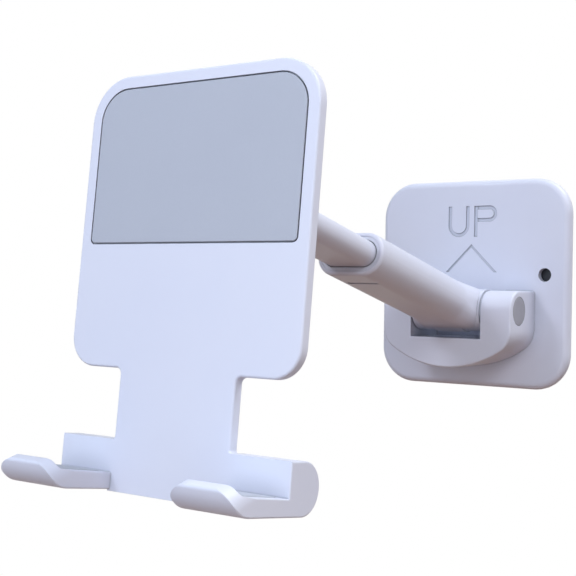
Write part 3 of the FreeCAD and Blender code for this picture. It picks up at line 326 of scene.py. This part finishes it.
@dataclass(frozen=True)
class ZincPlatedSteel(Finish):
    """Turned steel with bright zinc: bluish silver, with fine rings left by the tool."""

    title: str = "zinc_plated_steel"
    body_hex: str = "B9BEC6"
    film_hex: str = "A9AEB4"
    ring_mm: float = 0.5655
    ring_depth_mm: float = 0.01
    cloud_mm: float = 2.0
    roughness: Tuple[float, float] = (0.26, 0.42)

    def paint(self, tree: bpy.types.NodeTree, shader: bpy.types.Node) -> None:
        """Tool rings stretch the highlight, and the passivated film clouds it a little.

        Args:
            tree: the material's node tree.
            shader: its principled shader.
        """
        place = add_node(tree, "ShaderNodeTexCoord").outputs["Object"]
        cloud = add_node(tree, "ShaderNodeTexNoise", {
            "Vector": place, "Scale": per_metre(self.cloud_mm), "Detail": 4.0})
        tint = add_node(tree, "ShaderNodeMix", {
            "Factor": cloud.outputs["Fac"], "A": linear(self.body_hex), "B": linear(self.film_hex)},
            data_type="RGBA")
        tree.links.new(tint.outputs[2], shader.inputs["Base Color"])
        # Tool rings are about 0.1 mm apart; they are drawn coarser, at ring_mm, so that they show.
        rings = add_node(tree, "ShaderNodeTexWave", {
            "Vector": place, "Scale": per_metre(self.ring_mm) / WAVE_BANDS, "Distortion": 0.4},
            bands_direction="X")
        dull = add_node(tree, "ShaderNodeMapRange", {
            "Value": cloud.outputs["Fac"], "To Min": self.roughness[0], "To Max": self.roughness[1]})
        tree.links.new(dull.outputs["Result"], shader.inputs["Roughness"])
        cut = add_node(tree, "ShaderNodeBump", {
            "Height": rings.outputs["Fac"], "Strength": 0.2, "Distance": millimetres(self.ring_depth_mm)})
        tree.links.new(cut.outputs["Normal"], shader.inputs["Normal"])
        shader.inputs["Metallic"].default_value = 1.0


@dataclass(frozen=True)
class AcrylicFoam(Finish):
    """Closed-cell acrylic foam tape: charcoal, tacky, with burst cells at its cut edges."""

    title: str = "acrylic_foam_charcoal"
    body_hex: str = "3A3C41"
    cell_hex: str = "2B2D31"
    cell_mm: float = 0.6
    cell_depth_mm: float = 0.1
    roughness: float = 0.7

    def paint(self, tree: bpy.types.NodeTree, shader: bpy.types.Node) -> None:
        """Cells show as a fine dark mottle; the tacky skin has a low, even shine.

        Args:
            tree: the material's node tree.
            shader: its principled shader.
        """
        place = add_node(tree, "ShaderNodeTexCoord").outputs["Object"]
        cells = add_node(tree, "ShaderNodeTexVoronoi", {"Vector": place, "Scale": per_metre(self.cell_mm)})
        tint = add_node(tree, "ShaderNodeMix", {
            "Factor": cells.outputs["Distance"], "A": linear(self.cell_hex), "B": linear(self.body_hex)},
            data_type="RGBA")
        tree.links.new(tint.outputs[2], shader.inputs["Base Color"])
        burst = add_node(tree, "ShaderNodeBump", {
            "Height": cells.outputs["Distance"], "Strength": 0.5,
            "Distance": millimetres(self.cell_depth_mm)})
        tree.links.new(burst.outputs["Normal"], shader.inputs["Normal"])
        shader.inputs["Roughness"].default_value = self.roughness


@dataclass(frozen=True)
class LinerFilm(Finish):
    """Siliconised polyethylene film that covers the adhesive until it is stuck on."""

    title: str = "liner_film_dark"
    body_hex: str = "2E3036"
    crease_hex: str = "383B42"
    crease_mm: float = 7.0
    crease_depth_mm: float = 0.3
    emboss_mm: float = 1.6
    emboss_depth_mm: float = 0.03
    emboss_turn_deg: float = 45.0
    roughness: float = 0.34

    def paint(self, tree: bpy.types.NodeTree, shader: bpy.types.Node) -> None:
        """Soft creases and a fine diamond emboss catch the light along the film.

        Args:
            tree: the material's node tree.
            shader: its principled shader.
        """
        place = add_node(tree, "ShaderNodeTexCoord").outputs["Object"]
        crease = add_node(tree, "ShaderNodeTexNoise", {
            "Vector": place, "Scale": per_metre(self.crease_mm), "Detail": 3.0, "Distortion": 1.2})
        tint = add_node(tree, "ShaderNodeMix", {
            "Factor": crease.outputs["Fac"], "A": linear(self.body_hex), "B": linear(self.crease_hex)},
            data_type="RGBA")
        tree.links.new(tint.outputs[2], shader.inputs["Base Color"])
        turned = add_node(tree, "ShaderNodeMapping", {
            "Vector": place, "Rotation": (0.0, math.radians(self.emboss_turn_deg), 0.0)})
        emboss = add_node(tree, "ShaderNodeTexChecker", {
            "Vector": turned.outputs["Vector"], "Scale": per_metre(self.emboss_mm)})
        diamonds = add_node(tree, "ShaderNodeBump", {
            "Height": emboss.outputs["Fac"], "Strength": 0.25, "Distance": millimetres(self.emboss_depth_mm)})
        waved = add_node(tree, "ShaderNodeBump", {
            "Height": crease.outputs["Fac"], "Strength": 0.3, "Distance": millimetres(self.crease_depth_mm),
            "Normal": diamonds.outputs["Normal"]})
        tree.links.new(waved.outputs["Normal"], shader.inputs["Normal"])
        shader.inputs["Roughness"].default_value = self.roughness


@dataclass(frozen=True)
class CapPlastic(Finish):
    """Grey ABS plug from a polished mould: smoother than the housing, so it catches a sheen."""

    title: str = "cap_abs_grey"
    body_hex: str = "A7A8B0"
    flow_hex: str = "9D9EA7"
    flow_mm: float = 3.0
    flow_depth_mm: float = 0.03
    roughness: float = 0.36
    ior: float = 1.53

    def paint(self, tree: bpy.types.NodeTree, shader: bpy.types.Node) -> None:
        """Grey with faint flow marks round the gate in the middle.

        Args:
            tree: the material's node tree.
            shader: its principled shader.
        """
        place = add_node(tree, "ShaderNodeTexCoord").outputs["Object"]
        flow = add_node(tree, "ShaderNodeTexNoise", {
            "Vector": place, "Scale": per_metre(self.flow_mm), "Detail": 3.0})
        tint = add_node(tree, "ShaderNodeMix", {
            "Factor": flow.outputs["Fac"], "A": linear(self.body_hex), "B": linear(self.flow_hex)},
            data_type="RGBA")
        tree.links.new(tint.outputs[2], shader.inputs["Base Color"])
        soft = add_node(tree, "ShaderNodeBump", {
            "Height": flow.outputs["Fac"], "Strength": 0.1, "Distance": millimetres(self.flow_depth_mm)})
        tree.links.new(soft.outputs["Normal"], shader.inputs["Normal"])
        shader.inputs["Roughness"].default_value = self.roughness
        shader.inputs["IOR"].default_value = self.ior


HOUSING = MouldedAbs()
# Painted shade in the engraved strokes: a darker body colour and stronger crevice darkening, so they read
# darker than the plate round them.
SHADED_GROOVE = MouldedAbs(title="moulded_abs_shaded_groove", body_hex="D2D7E5", flow_hex="CAD0DF",
                    crevice_shade_mm=0.6, crevice_shade_strength=0.38)
PAD_RUBBER = SiliconeRubber()
SLIDE = Acetal()
STEEL = ZincPlatedSteel()
FOAM = AcrylicFoam()
FILM = LinerFilm()
CAP = CapPlastic()


class RecordSlot(Enum):
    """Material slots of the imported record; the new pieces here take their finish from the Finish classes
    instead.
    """

    WHITE = "white_plastic"
    CAP = "cap_plastic"
    SILICONE = "pad_silicone"
    FOAM = "foam"


def dress(names: Sequence[str], finish: Finish) -> None:
    """Give carried-over solids a finish.

    Args:
        names: CAD nodes.
        finish: the finish that each of them gets.
    """
    for name in names:
        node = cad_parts[name]
        node.data.materials.clear()
        node.data.materials.append(finish.material())
        LOG.info("%s dressed in %s", name, finish.title)


def copy_solid(node: str, merge_mm: float = 0.0005, flat_deg: float = 0.5) -> bmesh.types.BMesh:
    """Copy a CAD node's mesh with its split vertices joined and its flat faces whole.

    Args:
        node: CAD node to copy.
        merge_mm: distance under which vertices are one.
        flat_deg: faces that turn by less than this become one.

    Returns:
        The copy, to be shaped and finished.
    """
    mesh = bmesh.new()
    mesh.from_mesh(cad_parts[node].data)
    bmesh.ops.remove_doubles(mesh, verts=mesh.verts, dist=millimetres(merge_mm))
    bmesh.ops.dissolve_limit(mesh, angle_limit=math.radians(flat_deg), verts=mesh.verts, edges=mesh.edges)
    return mesh


def soften(mesh: bmesh.types.BMesh, radius_mm: float, steps: int = 3, sharp_deg: float = 40.0) -> None:
    """Round every sharp edge of a mesh.

    Args:
        mesh: the mesh to round.
        radius_mm: radius of the rounding.
        steps: segments across it.
        sharp_deg: edges that turn by more than this are rounded.
    """
    sharp = [edge for edge in mesh.edges
             if edge.is_manifold and edge.calc_face_angle() > math.radians(sharp_deg)]
    bmesh.ops.bevel(mesh, geom=sharp, offset=millimetres(radius_mm), segments=steps, profile=0.5,
                    affect="EDGES", clamp_overlap=True)


def bridge(mesh: bmesh.types.BMesh, first: Sequence[bmesh.types.BMVert],
           second: Sequence[bmesh.types.BMVert]) -> None:
    """Join two closed rings of vertices by a band of faces; a ring of one vertex is a tip.

    Args:
        mesh: the mesh that holds both rings.
        first: one ring.
        second: the other, with as many vertices or just one.
    """
    count = max(len(first), len(second))
    for index in range(count):
        after = (index + 1) % count
        corners = []
        for ring, order in ((first, (index, after)), (second, (after, index))):
            corners += [ring[0]] if len(ring) == 1 else [ring[number] for number in order]
        mesh.faces.new(corners)


def finish_piece(mesh: bmesh.types.BMesh, name: str, finish: Finish,
                 body: str) -> bpy.types.Object:
    """Turn a shaped mesh into a piece that rides on a body.

    Args:
        mesh: the mesh, which is freed.
        name: the piece's name.
        finish: its finish.
        body: the CAD body that carries it.

    Returns:
        The new piece.
    """
    data = bpy.data.meshes.new(name)
    bmesh.ops.recalc_face_normals(mesh, faces=mesh.faces)
    mesh.to_mesh(data)
    mesh.free()
    piece = bpy.data.objects.new(name, data)
    bpy.context.scene.collection.objects.link(piece)
    data.materials.append(finish.material())
    shade_by_angle(piece)
    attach(piece, body)
    LOG.info("%s made, %d faces", name, len(data.polygons))
    return piece


def shade_by_angle(piece: bpy.types.Object) -> None:
    """Shade smooth across soft edges, and keep flat faces flat.

    Args:
        piece: the object to shade.
    """
    piece.data.shade_smooth()
    piece.data.set_sharp_from_angle(angle=math.radians(SMOOTH_DEG))
    weighted = piece.modifiers.new("flat faces stay flat", "WEIGHTED_NORMAL")
    weighted.keep_sharp = True
    weighted.weight = 100


@dataclass
class OrientationMark:
    """The word and the chevron that show which way up the plate goes, engraved in its front."""

    depth_mm: float = 0.5
    draft_mm: float = 0.04
    overshoot_mm: float = 1.0
    front_mm: float = 3.4
    stroke_mm: float = 1.2
    cap_top_mm: float = 26.3
    cap_bottom_mm: float = 15.8
    left_letter_mm: Tuple[float, float] = (-8.8, -0.95)
    right_letter_mm: Tuple[float, float] = (0.95, 9.3)
    bowl_bottom_mm: float = 20.9
    chevron_top_mm: float = 13.25
    chevron_foot_mm: float = 3.75
    chevron_half_mm: float = 9.5
    chevron_stroke_mm: float = 0.75
    arc_steps: int = 20

    def arc(self, centre: Point2, radius: float, start_deg: float, end_deg: float) -> List[Point2]:
        """Points of an arc in the plate's plane, in millimetres.

        Args:
            centre: the arc's centre.
            radius: its radius.
            start_deg: where it starts, from the horizontal.
            end_deg: where it ends.

        Returns:
            Points along the arc, both ends included.
        """
        points = []
        for step in range(self.arc_steps + 1):
            angle = math.radians(start_deg + (end_deg - start_deg) * step / self.arc_steps)
            points.append((centre[0] + radius * math.cos(angle), centre[1] + radius * math.sin(angle)))
        return points

    @staticmethod
    def ribbon(path: Sequence[Point2], half: float) -> List[Point2]:
        """Outline of a stroke of constant width along a path.

        Args:
            path: the stroke's centre line, in millimetres.
            half: half of its width.

        Returns:
            The closed outline.
        """
        left, right = [], []
        for index, point in enumerate(path):
            before = Vector(path[max(index - 1, 0)])
            after = Vector(path[min(index + 1, len(path) - 1)])
            way = (after - before).normalized()
            left.append((point[0] - way.y * half, point[1] + way.x * half))
            right.append((point[0] + way.y * half, point[1] - way.x * half))
        return left + right[::-1]

    def outlines(self, spread: float) -> List[List[Point2]]:
        """Closed outlines of the strokes to be cut.

        Args:
            spread: how much wider each side of a stroke is than at half its depth.

        Returns:
            Lists of points across and up, in millimetres.
        """
        half = self.stroke_mm / 2
        inner_left = self.left_letter_mm[0] + half
        inner_right = self.left_letter_mm[1] - half
        turn = (inner_right - inner_left) / 2
        middle = (inner_left + inner_right) / 2
        base = self.cap_bottom_mm + half + turn
        first = [(inner_left, self.cap_top_mm)]
        first += self.arc((middle, base), turn, 180, 360)
        first += [(inner_right, self.cap_top_mm)]
        stem = self.right_letter_mm[0] + half
        high = self.cap_top_mm - half
        low = self.bowl_bottom_mm + half
        bend = (high - low) / 2
        bowl = [(stem + half, high)]
        bowl += self.arc((self.right_letter_mm[1] - half - bend, (high + low) / 2), bend, 90, -90)
        bowl += [(stem + half, low)]
        upright = [(stem, self.cap_bottom_mm), (stem, self.cap_top_mm)]
        rise = self.chevron_top_mm - self.chevron_foot_mm
        slant = math.atan2(rise, self.chevron_half_mm)
        wide, slim = spread / math.sin(slant), self.chevron_stroke_mm / math.sin(slant)
        tall, thin = spread / math.cos(slant), self.chevron_stroke_mm / math.cos(slant)
        foot, out, top = self.chevron_foot_mm, self.chevron_half_mm, self.chevron_top_mm
        chevron = [(-out - wide, foot), (0.0, top + tall), (out + wide, foot),
                   (out - slim - wide, foot), (0.0, top - thin - tall), (slim + wide - out, foot)]
        strokes = [self.ribbon(path, half + spread) for path in (first, bowl, upright)]
        return strokes + [chevron]

    def cutters(self) -> List[bpy.types.Object]:
        """Make one closed prism for each stroke, reaching depth_mm into the plate.

        Returns:
            The prisms, to be removed after the cut.
        """
        made = []
        pairs = zip(self.outlines(self.draft_mm), self.outlines(-self.draft_mm))
        for number, (mouth, floor) in enumerate(pairs):
            prism = bmesh.new()
            loops = []
            for outline, depth in ((mouth, self.front_mm + self.overshoot_mm), (mouth, self.front_mm),
                                   (floor, self.front_mm - self.depth_mm)):
                loops.append([prism.verts.new((millimetres(x), -millimetres(depth), millimetres(z)))
                              for x, z in outline])
            prism.faces.new(loops[0])
            prism.faces.new(loops[-1][::-1])
            for near, deep in zip(loops, loops[1:]):
                bridge(prism, near, deep)
            bmesh.ops.recalc_face_normals(prism, faces=prism.faces)
            data = bpy.data.meshes.new("stroke_%d" % number)
            prism.to_mesh(data)
            prism.free()
            data.materials.append(SHADED_GROOVE.material())
            cutter = bpy.data.objects.new("stroke_%d" % number, data)
            bpy.context.scene.collection.objects.link(cutter)
            made.append(cutter)
        return made

    def engrave(self, piece: bpy.types.Object) -> None:
        """Cut the strokes out of a piece.

        Args:
            piece: the wall plate.
        """
        tools = self.cutters()
        for tool in tools:
            cut = piece.modifiers.new("engrave " + tool.name, "BOOLEAN")
            cut.operation = "DIFFERENCE"
            cut.solver = "EXACT"
            cut.object = tool
            cut.material_mode = "TRANSFER"
        engraved = bpy.data.meshes.new_from_object(
            piece.evaluated_get(bpy.context.evaluated_depsgraph_get()))
        piece.modifiers.clear()
        piece.data = engraved
        for tool in tools:
            bpy.data.objects.remove(tool)


@dataclass(frozen=True)
class TurnedCap:
    """Round plug over a pin's end: a disc with a rounded rim, dished a little, on a boss.

    The dish's shape is given as shares of its depth and of the disc's radius.
    """

    disc_mm: float
    rim_mm: float = 0.3
    dish_mm: float = 0.08
    dish_shape: Tuple[Point2, ...] = ((1.0, 0.0), (0.9, 0.4), (0.5, 0.7))
    boss_share: float = 0.55
    rim_steps: int = 5
    segments: int = 72

    def profile(self, radius: float, length: float) -> List[Point2]:
        """Half section of the cap, from the middle of its face round to the middle of its back.

        Args:
            radius: the disc's radius in metres.
            length: face to the boss's end in metres.

        Returns:
            Pairs of depth under the face and distance from the axis, in metres.
        """
        rim, disc, dish = millimetres(self.rim_mm), millimetres(self.disc_mm), millimetres(self.dish_mm)
        points = [(dish * deep, radius * out) for deep, out in self.dish_shape]
        for step in range(self.rim_steps + 1):
            turn = math.radians(90 * step / self.rim_steps)
            points.append((rim * (1 - math.cos(turn)), radius - rim + rim * math.sin(turn)))
        boss = radius * self.boss_share
        return points + [(disc, radius), (disc, boss), (length, boss), (length, 0.0)]

    def replace(self, node: str, body: str) -> None:
        """Put this cap in the place of a plain one.

        Args:
            node: the CAD cap.
            body: the CAD body that carries it.
        """
        low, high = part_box(node)
        middle = (low + high) / 2
        side = 1.0 if middle.x > 0 else -1.0
        face = high.x if side > 0 else low.x
        mesh = bmesh.new()
        rings = []
        for depth, radius in self.profile((high.z - low.z) / 2, high.x - low.x):
            count = 1 if radius == 0.0 else self.segments
            rings.append([mesh.verts.new((
                face - side * depth,
                middle.y + radius * math.cos(2 * math.pi * step / self.segments),
                middle.z + radius * math.sin(2 * math.pi * step / self.segments))) for step in range(count)])
        for first, second in zip(rings, rings[1:]):
            bridge(mesh, first, second)
        piece = finish_piece(mesh, node + "_turned", CAP, body)
        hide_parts(node)


@dataclass(frozen=True)
class Cushion:
    """Soft pad of even thickness: a rounded rim and a face that swells towards its middle."""

    rim_mm: float = 0.3
    rim_steps: int = 4
    swell_mm: float = 0.1
    swell_rings: int = 10
    sharpest_miter: float = 0.3
    facing_share: float = 0.5

    def insets(self, outline: Sequence[Vector], normal: Vector) -> List[Vector]:
        """Which way, and how far for each millimetre of inset, every point of the rim moves.

        Args:
            outline: the rim's points in order.
            normal: the way the cushion faces.

        Returns:
            One move for each point.
        """
        moves = []
        for index, point in enumerate(outline):
            before = (point - outline[index - 1]).normalized()
            after = (outline[(index + 1) % len(outline)] - point).normalized()
            inward = (normal.cross(before) + normal.cross(after)).normalized()
            moves.append(inward / max(inward.dot(normal.cross(after)), self.sharpest_miter))
        return moves

    def mould(self, node: str) -> bmesh.types.BMesh:
        """Shape the cushion over the outline of a plain pad.

        Args:
            node: the CAD pad.

        Returns:
            The closed mesh.
        """
        plain = copy_solid(node)
        plain.normal_update()
        # The face that is touched is the largest of those that look forward or up.
        face = max(plain.faces, key=lambda item: item.calc_area() * (
            item.normal.y < -self.facing_share or item.normal.z > self.facing_share))
        normal = face.normal.copy()
        outline = [vertex.co.copy() for vertex in face.verts]
        depth = max((outline[0] - vertex.co).dot(normal) for vertex in plain.verts)
        plain.free()
        middle = sum(outline, Vector()) / len(outline)
        moves = self.insets(outline, normal)
        rim, swell = millimetres(self.rim_mm), millimetres(self.swell_mm)
        levels = [(0.0, 0.0), (0.0, depth - swell - rim)]
        for step in range(1, self.rim_steps + 1):
            turn = math.radians(90 * step / self.rim_steps)
            levels.append((rim * (1 - math.cos(turn)), depth - swell - rim + rim * math.sin(turn)))
        rings = [[point + move * inset + normal * (height - depth) for point, move in zip(outline, moves)]
                 for inset, height in levels]
        edge = rings[-1]
        crown = middle - normal * swell
        for step in range(1, self.swell_rings):
            share = 1 - step / self.swell_rings
            rise = normal * swell * (1 - share ** 2)
            rings.append([crown.lerp(point, share) + rise for point in edge])
        mesh = bmesh.new()
        placed = [[mesh.verts.new(point) for point in ring] for ring in rings]
        for first, second in zip(placed, placed[1:]):
            bridge(mesh, first, second)
        mesh.faces.new(placed[0][::-1])
        mesh.faces.new(placed[-1])
        return mesh


@dataclass
class WallBase:
    """Wall plate with its yoke, the foam behind it and everything on the pitch pin."""

    body: str = "base"
    mark: OrientationMark = field(default_factory=OrientationMark)
    cap: TurnedCap = TurnedCap(disc_mm=1.2)
    film_mm: float = 0.08
    film_corner_mm: float = 9.5
    corner_steps: int = 12
    foam_edge_mm: float = 0.12

    def build(self) -> None:
        """Make and dress every piece that stays on the wall."""
        self.make_plate()
        self.make_foam()
        for node in ("arm_cap_right", "arm_cap_left"):
            self.cap.replace(node, self.body)
        dress(["arm_screw", "arm_nut", "arm_spring_washer"], STEEL)
        dress(["arm_washer_right", "arm_washer_left"], SLIDE)

    def make_plate(self) -> None:
        """Engrave the orientation mark in a copy of the moulded plate and yoke."""
        mesh = copy_solid("wall_base")
        piece = finish_piece(mesh, "wall_plate_and_yoke", HOUSING, self.body)
        piece.modifiers.clear()
        self.mark.engrave(piece)
        shade_by_angle(piece)
        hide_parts("wall_base")

    def make_foam(self) -> None:
        """Foam sheet with rounded rims, and the film that closes it behind."""
        mesh = copy_solid("adhesive_pad")
        film = millimetres(self.film_mm)
        for vertex in mesh.verts:
            if vertex.co.y > -film:
                vertex.co.y = -film
        soften(mesh, self.foam_edge_mm, steps=2)
        foam = finish_piece(mesh, "foam_sheet", FOAM, self.body)
        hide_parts("adhesive_pad")
        self.make_film()

    def make_film(self) -> None:
        """Release film over the back of the foam, which also closes the screw holes behind."""
        low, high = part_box("adhesive_pad")
        half = (high.x - low.x) / 2
        corner = millimetres(self.film_corner_mm)
        film = bmesh.new()
        outline = []
        for quarter, (sx, sz) in enumerate(((1, 1), (-1, 1), (-1, -1), (1, -1))):
            for step in range(self.corner_steps + 1):
                angle = math.radians(90 * (quarter + step / self.corner_steps))
                outline.append((sx * (half - corner) + corner * math.cos(angle),
                                sz * (half - corner) + corner * math.sin(angle)))
        rings = [[film.verts.new((x, y, z)) for x, z in outline] for y in (-millimetres(self.film_mm), 0.0)]
        film.faces.new(rings[0])
        film.faces.new(rings[1][::-1])
        bridge(film, rings[0], rings[1])
        finish_piece(film, "release_film", FILM, self.body)


@dataclass
class TelescopicArm:
    """Sleeve with its bush, and the tube that slides in it on a glide."""

    def build(self) -> None:
        """Dress the arm's pieces, which keep their solids' shapes."""
        dress(["arm_sleeve", "arm_tube"], HOUSING)
        dress(["mouth_bush", "tube_glide"], SLIDE)


@dataclass
class PhoneHolder:
    """Holder plate with its hooks, the soft pads on it and the tilt pin."""

    body: str = "holder"
    front_pad: Cushion = Cushion(rim_mm=0.3, swell_mm=0.08)
    hook_liner: Cushion = Cushion(rim_mm=0.35, swell_mm=0.12)
    cap: TurnedCap = TurnedCap(disc_mm=1.0, rim_mm=0.25)

    def build(self) -> None:
        """Make and dress every piece that tilts with the holder."""
        dress(["phone_plate"], HOUSING)
        self.make_pad("front_pad", self.front_pad)
        self.make_pad("hook_liner_right", self.hook_liner)
        self.make_pad("hook_liner_left", self.hook_liner)
        for node in ("tilt_cap_right", "tilt_cap_left"):
            self.cap.replace(node, self.body)
        dress(["tilt_screw", "tilt_nut", "tilt_spring_washer"], STEEL)
        dress(["tilt_washer_right", "tilt_washer_left"], SLIDE)

    def make_pad(self, node: str, cushion: Cushion) -> None:
        """Put a moulded cushion in the place of a plain pad.

        Args:
            node: the CAD pad.
            cushion: its shape.
        """
        pad = finish_piece(cushion.mould(node), node + "_silicone", PAD_RUBBER,
                           self.body)
        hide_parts(node)


@dataclass(frozen=True)
class Viewpoint:
    """The photograph's camera, worked out from the object's own edges."""

    position_mm: Tuple[float, float, float] = (175.43, -356.83, -1.00)
    yaw_deg: float = 35.496
    pitch_deg: float = -0.247
    roll_deg: float = 0.913
    focal_pixels: float = 1140.42
    sensor_mm: float = 36.0
    clip: Tuple[float, float] = (0.01, 50.0)

    def place(self) -> None:
        """Make the camera and hand it to the scene."""
        yaw, pitch, roll = (math.radians(angle) for angle in (self.yaw_deg, self.pitch_deg, self.roll_deg))
        ahead = Vector((-math.sin(yaw) * math.cos(pitch), math.cos(yaw) * math.cos(pitch), math.sin(pitch)))
        level = Vector((math.cos(yaw), math.sin(yaw), 0.0))
        upright = level.cross(ahead)
        right = math.cos(roll) * level + math.sin(roll) * upright
        above = -math.sin(roll) * level + math.cos(roll) * upright
        data = bpy.data.cameras.new("photo_camera")
        data.sensor_width = self.sensor_mm
        data.lens = self.focal_pixels * self.sensor_mm / FRAME_PIXELS
        data.clip_start, data.clip_end = self.clip
        camera = bpy.data.objects.new("photo_camera", data)
        turn = Matrix((right, above, -ahead)).transposed().to_4x4()
        camera.matrix_world = Matrix.Translation(Vector(self.position_mm) * MM) @ turn
        bpy.context.scene.collection.objects.link(camera)
        bpy.context.scene.camera = camera


@dataclass(frozen=True)
class SoftLamp:
    """A square diffuser that faces the middle of the object."""

    name: str
    azimuth_deg: float
    elevation_deg: float
    distance: float
    side: float
    level: float
    tint_hex: str
    aim: Tuple[float, float, float] = (0.0, -0.09, 0.0)

    def hang(self) -> None:
        """Make the lamp; its level is the light that it alone gives to a sheet at the aim."""
        data = bpy.data.lights.new(self.name, "AREA")
        data.shape = "SQUARE"
        data.size = self.side
        data.energy = self.level * math.pi ** 2 * self.distance ** 2
        data.color = linear(self.tint_hex)[:3]
        lamp = bpy.data.objects.new(self.name, data)
        azimuth, elevation = math.radians(self.azimuth_deg), math.radians(self.elevation_deg)
        source = Vector((math.sin(azimuth) * math.cos(elevation),
                         -math.cos(azimuth) * math.cos(elevation), math.sin(elevation)))
        turn = (-source).to_track_quat("-Z", "Y").to_matrix().to_4x4()
        lamp.matrix_world = Matrix.Translation(Vector(self.aim) + source * self.distance) @ turn
        bpy.context.scene.collection.objects.link(lamp)


@dataclass
class Studio:
    """Plain pale floor, soft lamps and an even sky."""

    floor_drop: float = 0.30
    floor_half: float = 6.0
    floor_hex: str = "F2F2F4"
    bounce_hex: str = "8E6245"
    near_white: float = 0.15
    fade_start: float = 0.35
    fade_end: float = 0.60
    white_hex: str = "FFFFFF"
    sky_hex: str = "ECF2FB"
    sky_strength: float = 0.19
    lamps: Tuple[SoftLamp, ...] = (
        SoftLamp("front", -2.0, 13.0, 0.85, 0.65, 0.44, "D6E9FF"),
        SoftLamp("upper_left", -30.0, 38.0, 0.90, 0.24, 0.265, "EEF0FF"),
        SoftLamp("upper_right", 50.0, 35.0, 0.80, 0.30, 0.30, "F4F4FA"),
        SoftLamp("top_back", 125.0, 55.0, 0.80, 0.35, 0.63, "F8F9FF"),
        SoftLamp("low_fill", 24.0, -8.0, 0.90, 0.60, 0.09, "DCE8FF"),
        SoftLamp("right_near", 60.0, -4.0, 0.30, 0.20, 0.15, "FBF6F4", aim=(0.0, -0.16, -0.02)),
    )

    def build(self) -> None:
        """Set up the floor, the lamps and the world."""
        self.lay_floor()
        for lamp in self.lamps:
            lamp.hang()
        self.make_sky()
        bpy.context.scene.view_settings.view_transform = "Standard"

    @staticmethod
    def seen_directly(tree: bpy.types.NodeTree) -> bpy.types.NodeSocket:
        """One for what the camera sees straight, in a reflection or through glass; else zero.

        Args:
            tree: the node tree that needs it.

        Returns:
            The output that holds it.
        """
        path = add_node(tree, "ShaderNodeLightPath")
        either = add_node(tree, "ShaderNodeMath", {
            0: path.outputs["Is Camera Ray"], 1: path.outputs["Is Glossy Ray"]}, operation="MAXIMUM")
        return add_node(tree, "ShaderNodeMath", {
            0: either.outputs["Value"], 1: path.outputs["Is Transmission Ray"]},
            operation="MAXIMUM").outputs["Value"]

    def lay_floor(self) -> None:
        """Lay the floor below the object: pale near it, plain white farther off, with a warm bounce."""
        mesh = bmesh.new()
        bmesh.ops.create_grid(mesh, x_segments=1, y_segments=1, size=self.floor_half)
        data = bpy.data.meshes.new("floor")
        mesh.to_mesh(data)
        mesh.free()
        floor = bpy.data.objects.new("floor", data)
        floor.location.z = -self.floor_drop
        bpy.context.scene.collection.objects.link(floor)
        paper = bpy.data.materials.new("matte_backdrop_paper")
        paper.use_nodes = True
        tree = paper.node_tree
        tree.nodes.clear()
        seen = add_node(tree, "ShaderNodeBsdfDiffuse", {"Color": linear(self.floor_hex)})
        place = add_node(tree, "ShaderNodeTexCoord").outputs["Object"]
        away = add_node(tree, "ShaderNodeVectorMath", {0: place}, operation="LENGTH")
        fade = add_node(tree, "ShaderNodeMapRange", {
            "Value": away.outputs["Value"], "From Min": self.fade_start, "From Max": self.fade_end,
            "To Min": self.near_white, "To Max": 1.0}, interpolation_type="SMOOTHSTEP")
        plain = add_node(tree, "ShaderNodeEmission", {"Color": linear(self.white_hex), "Strength": 1.0})
        white = add_node(tree, "ShaderNodeMixShader", {
            0: fade.outputs["Result"], 1: seen.outputs["BSDF"], 2: plain.outputs["Emission"]})
        bounce = add_node(tree, "ShaderNodeBsdfDiffuse", {"Color": linear(self.bounce_hex)})
        mix = add_node(tree, "ShaderNodeMixShader", {
            0: self.seen_directly(tree), 1: bounce.outputs["BSDF"], 2: white.outputs["Shader"]})
        add_node(tree, "ShaderNodeOutputMaterial", {"Surface": mix.outputs["Shader"]})
        data.materials.append(paper)

    def make_sky(self) -> None:
        """An even, slightly cool sky that the camera sees as plain white."""
        world = bpy.data.worlds.new("studio_sky")
        world.use_nodes = True
        tree = world.node_tree
        tree.nodes.clear()
        light = add_node(tree, "ShaderNodeBackground", {
            "Color": linear(self.sky_hex), "Strength": self.sky_strength})
        white = add_node(tree, "ShaderNodeBackground", {"Color": linear(self.white_hex), "Strength": 1.0})
        mix = add_node(tree, "ShaderNodeMixShader", {
            0: self.seen_directly(tree), 1: light.outputs["Background"], 2: white.outputs["Background"]})
        add_node(tree, "ShaderNodeOutputWorld", {"Surface": mix.outputs["Shader"]})
        bpy.context.scene.world = world


def main() -> None:
    """Build the object's pieces in order, then the studio round it."""
    logging.basicConfig(level=logging.INFO, format="%(name)s: %(message)s")
    Viewpoint().place()
    builders: List[Callable[[], None]] = [
        WallBase().build, TelescopicArm().build, PhoneHolder().build, Studio().build]
    for build in builders:
        build()


if __name__ == "__main__":
    main()
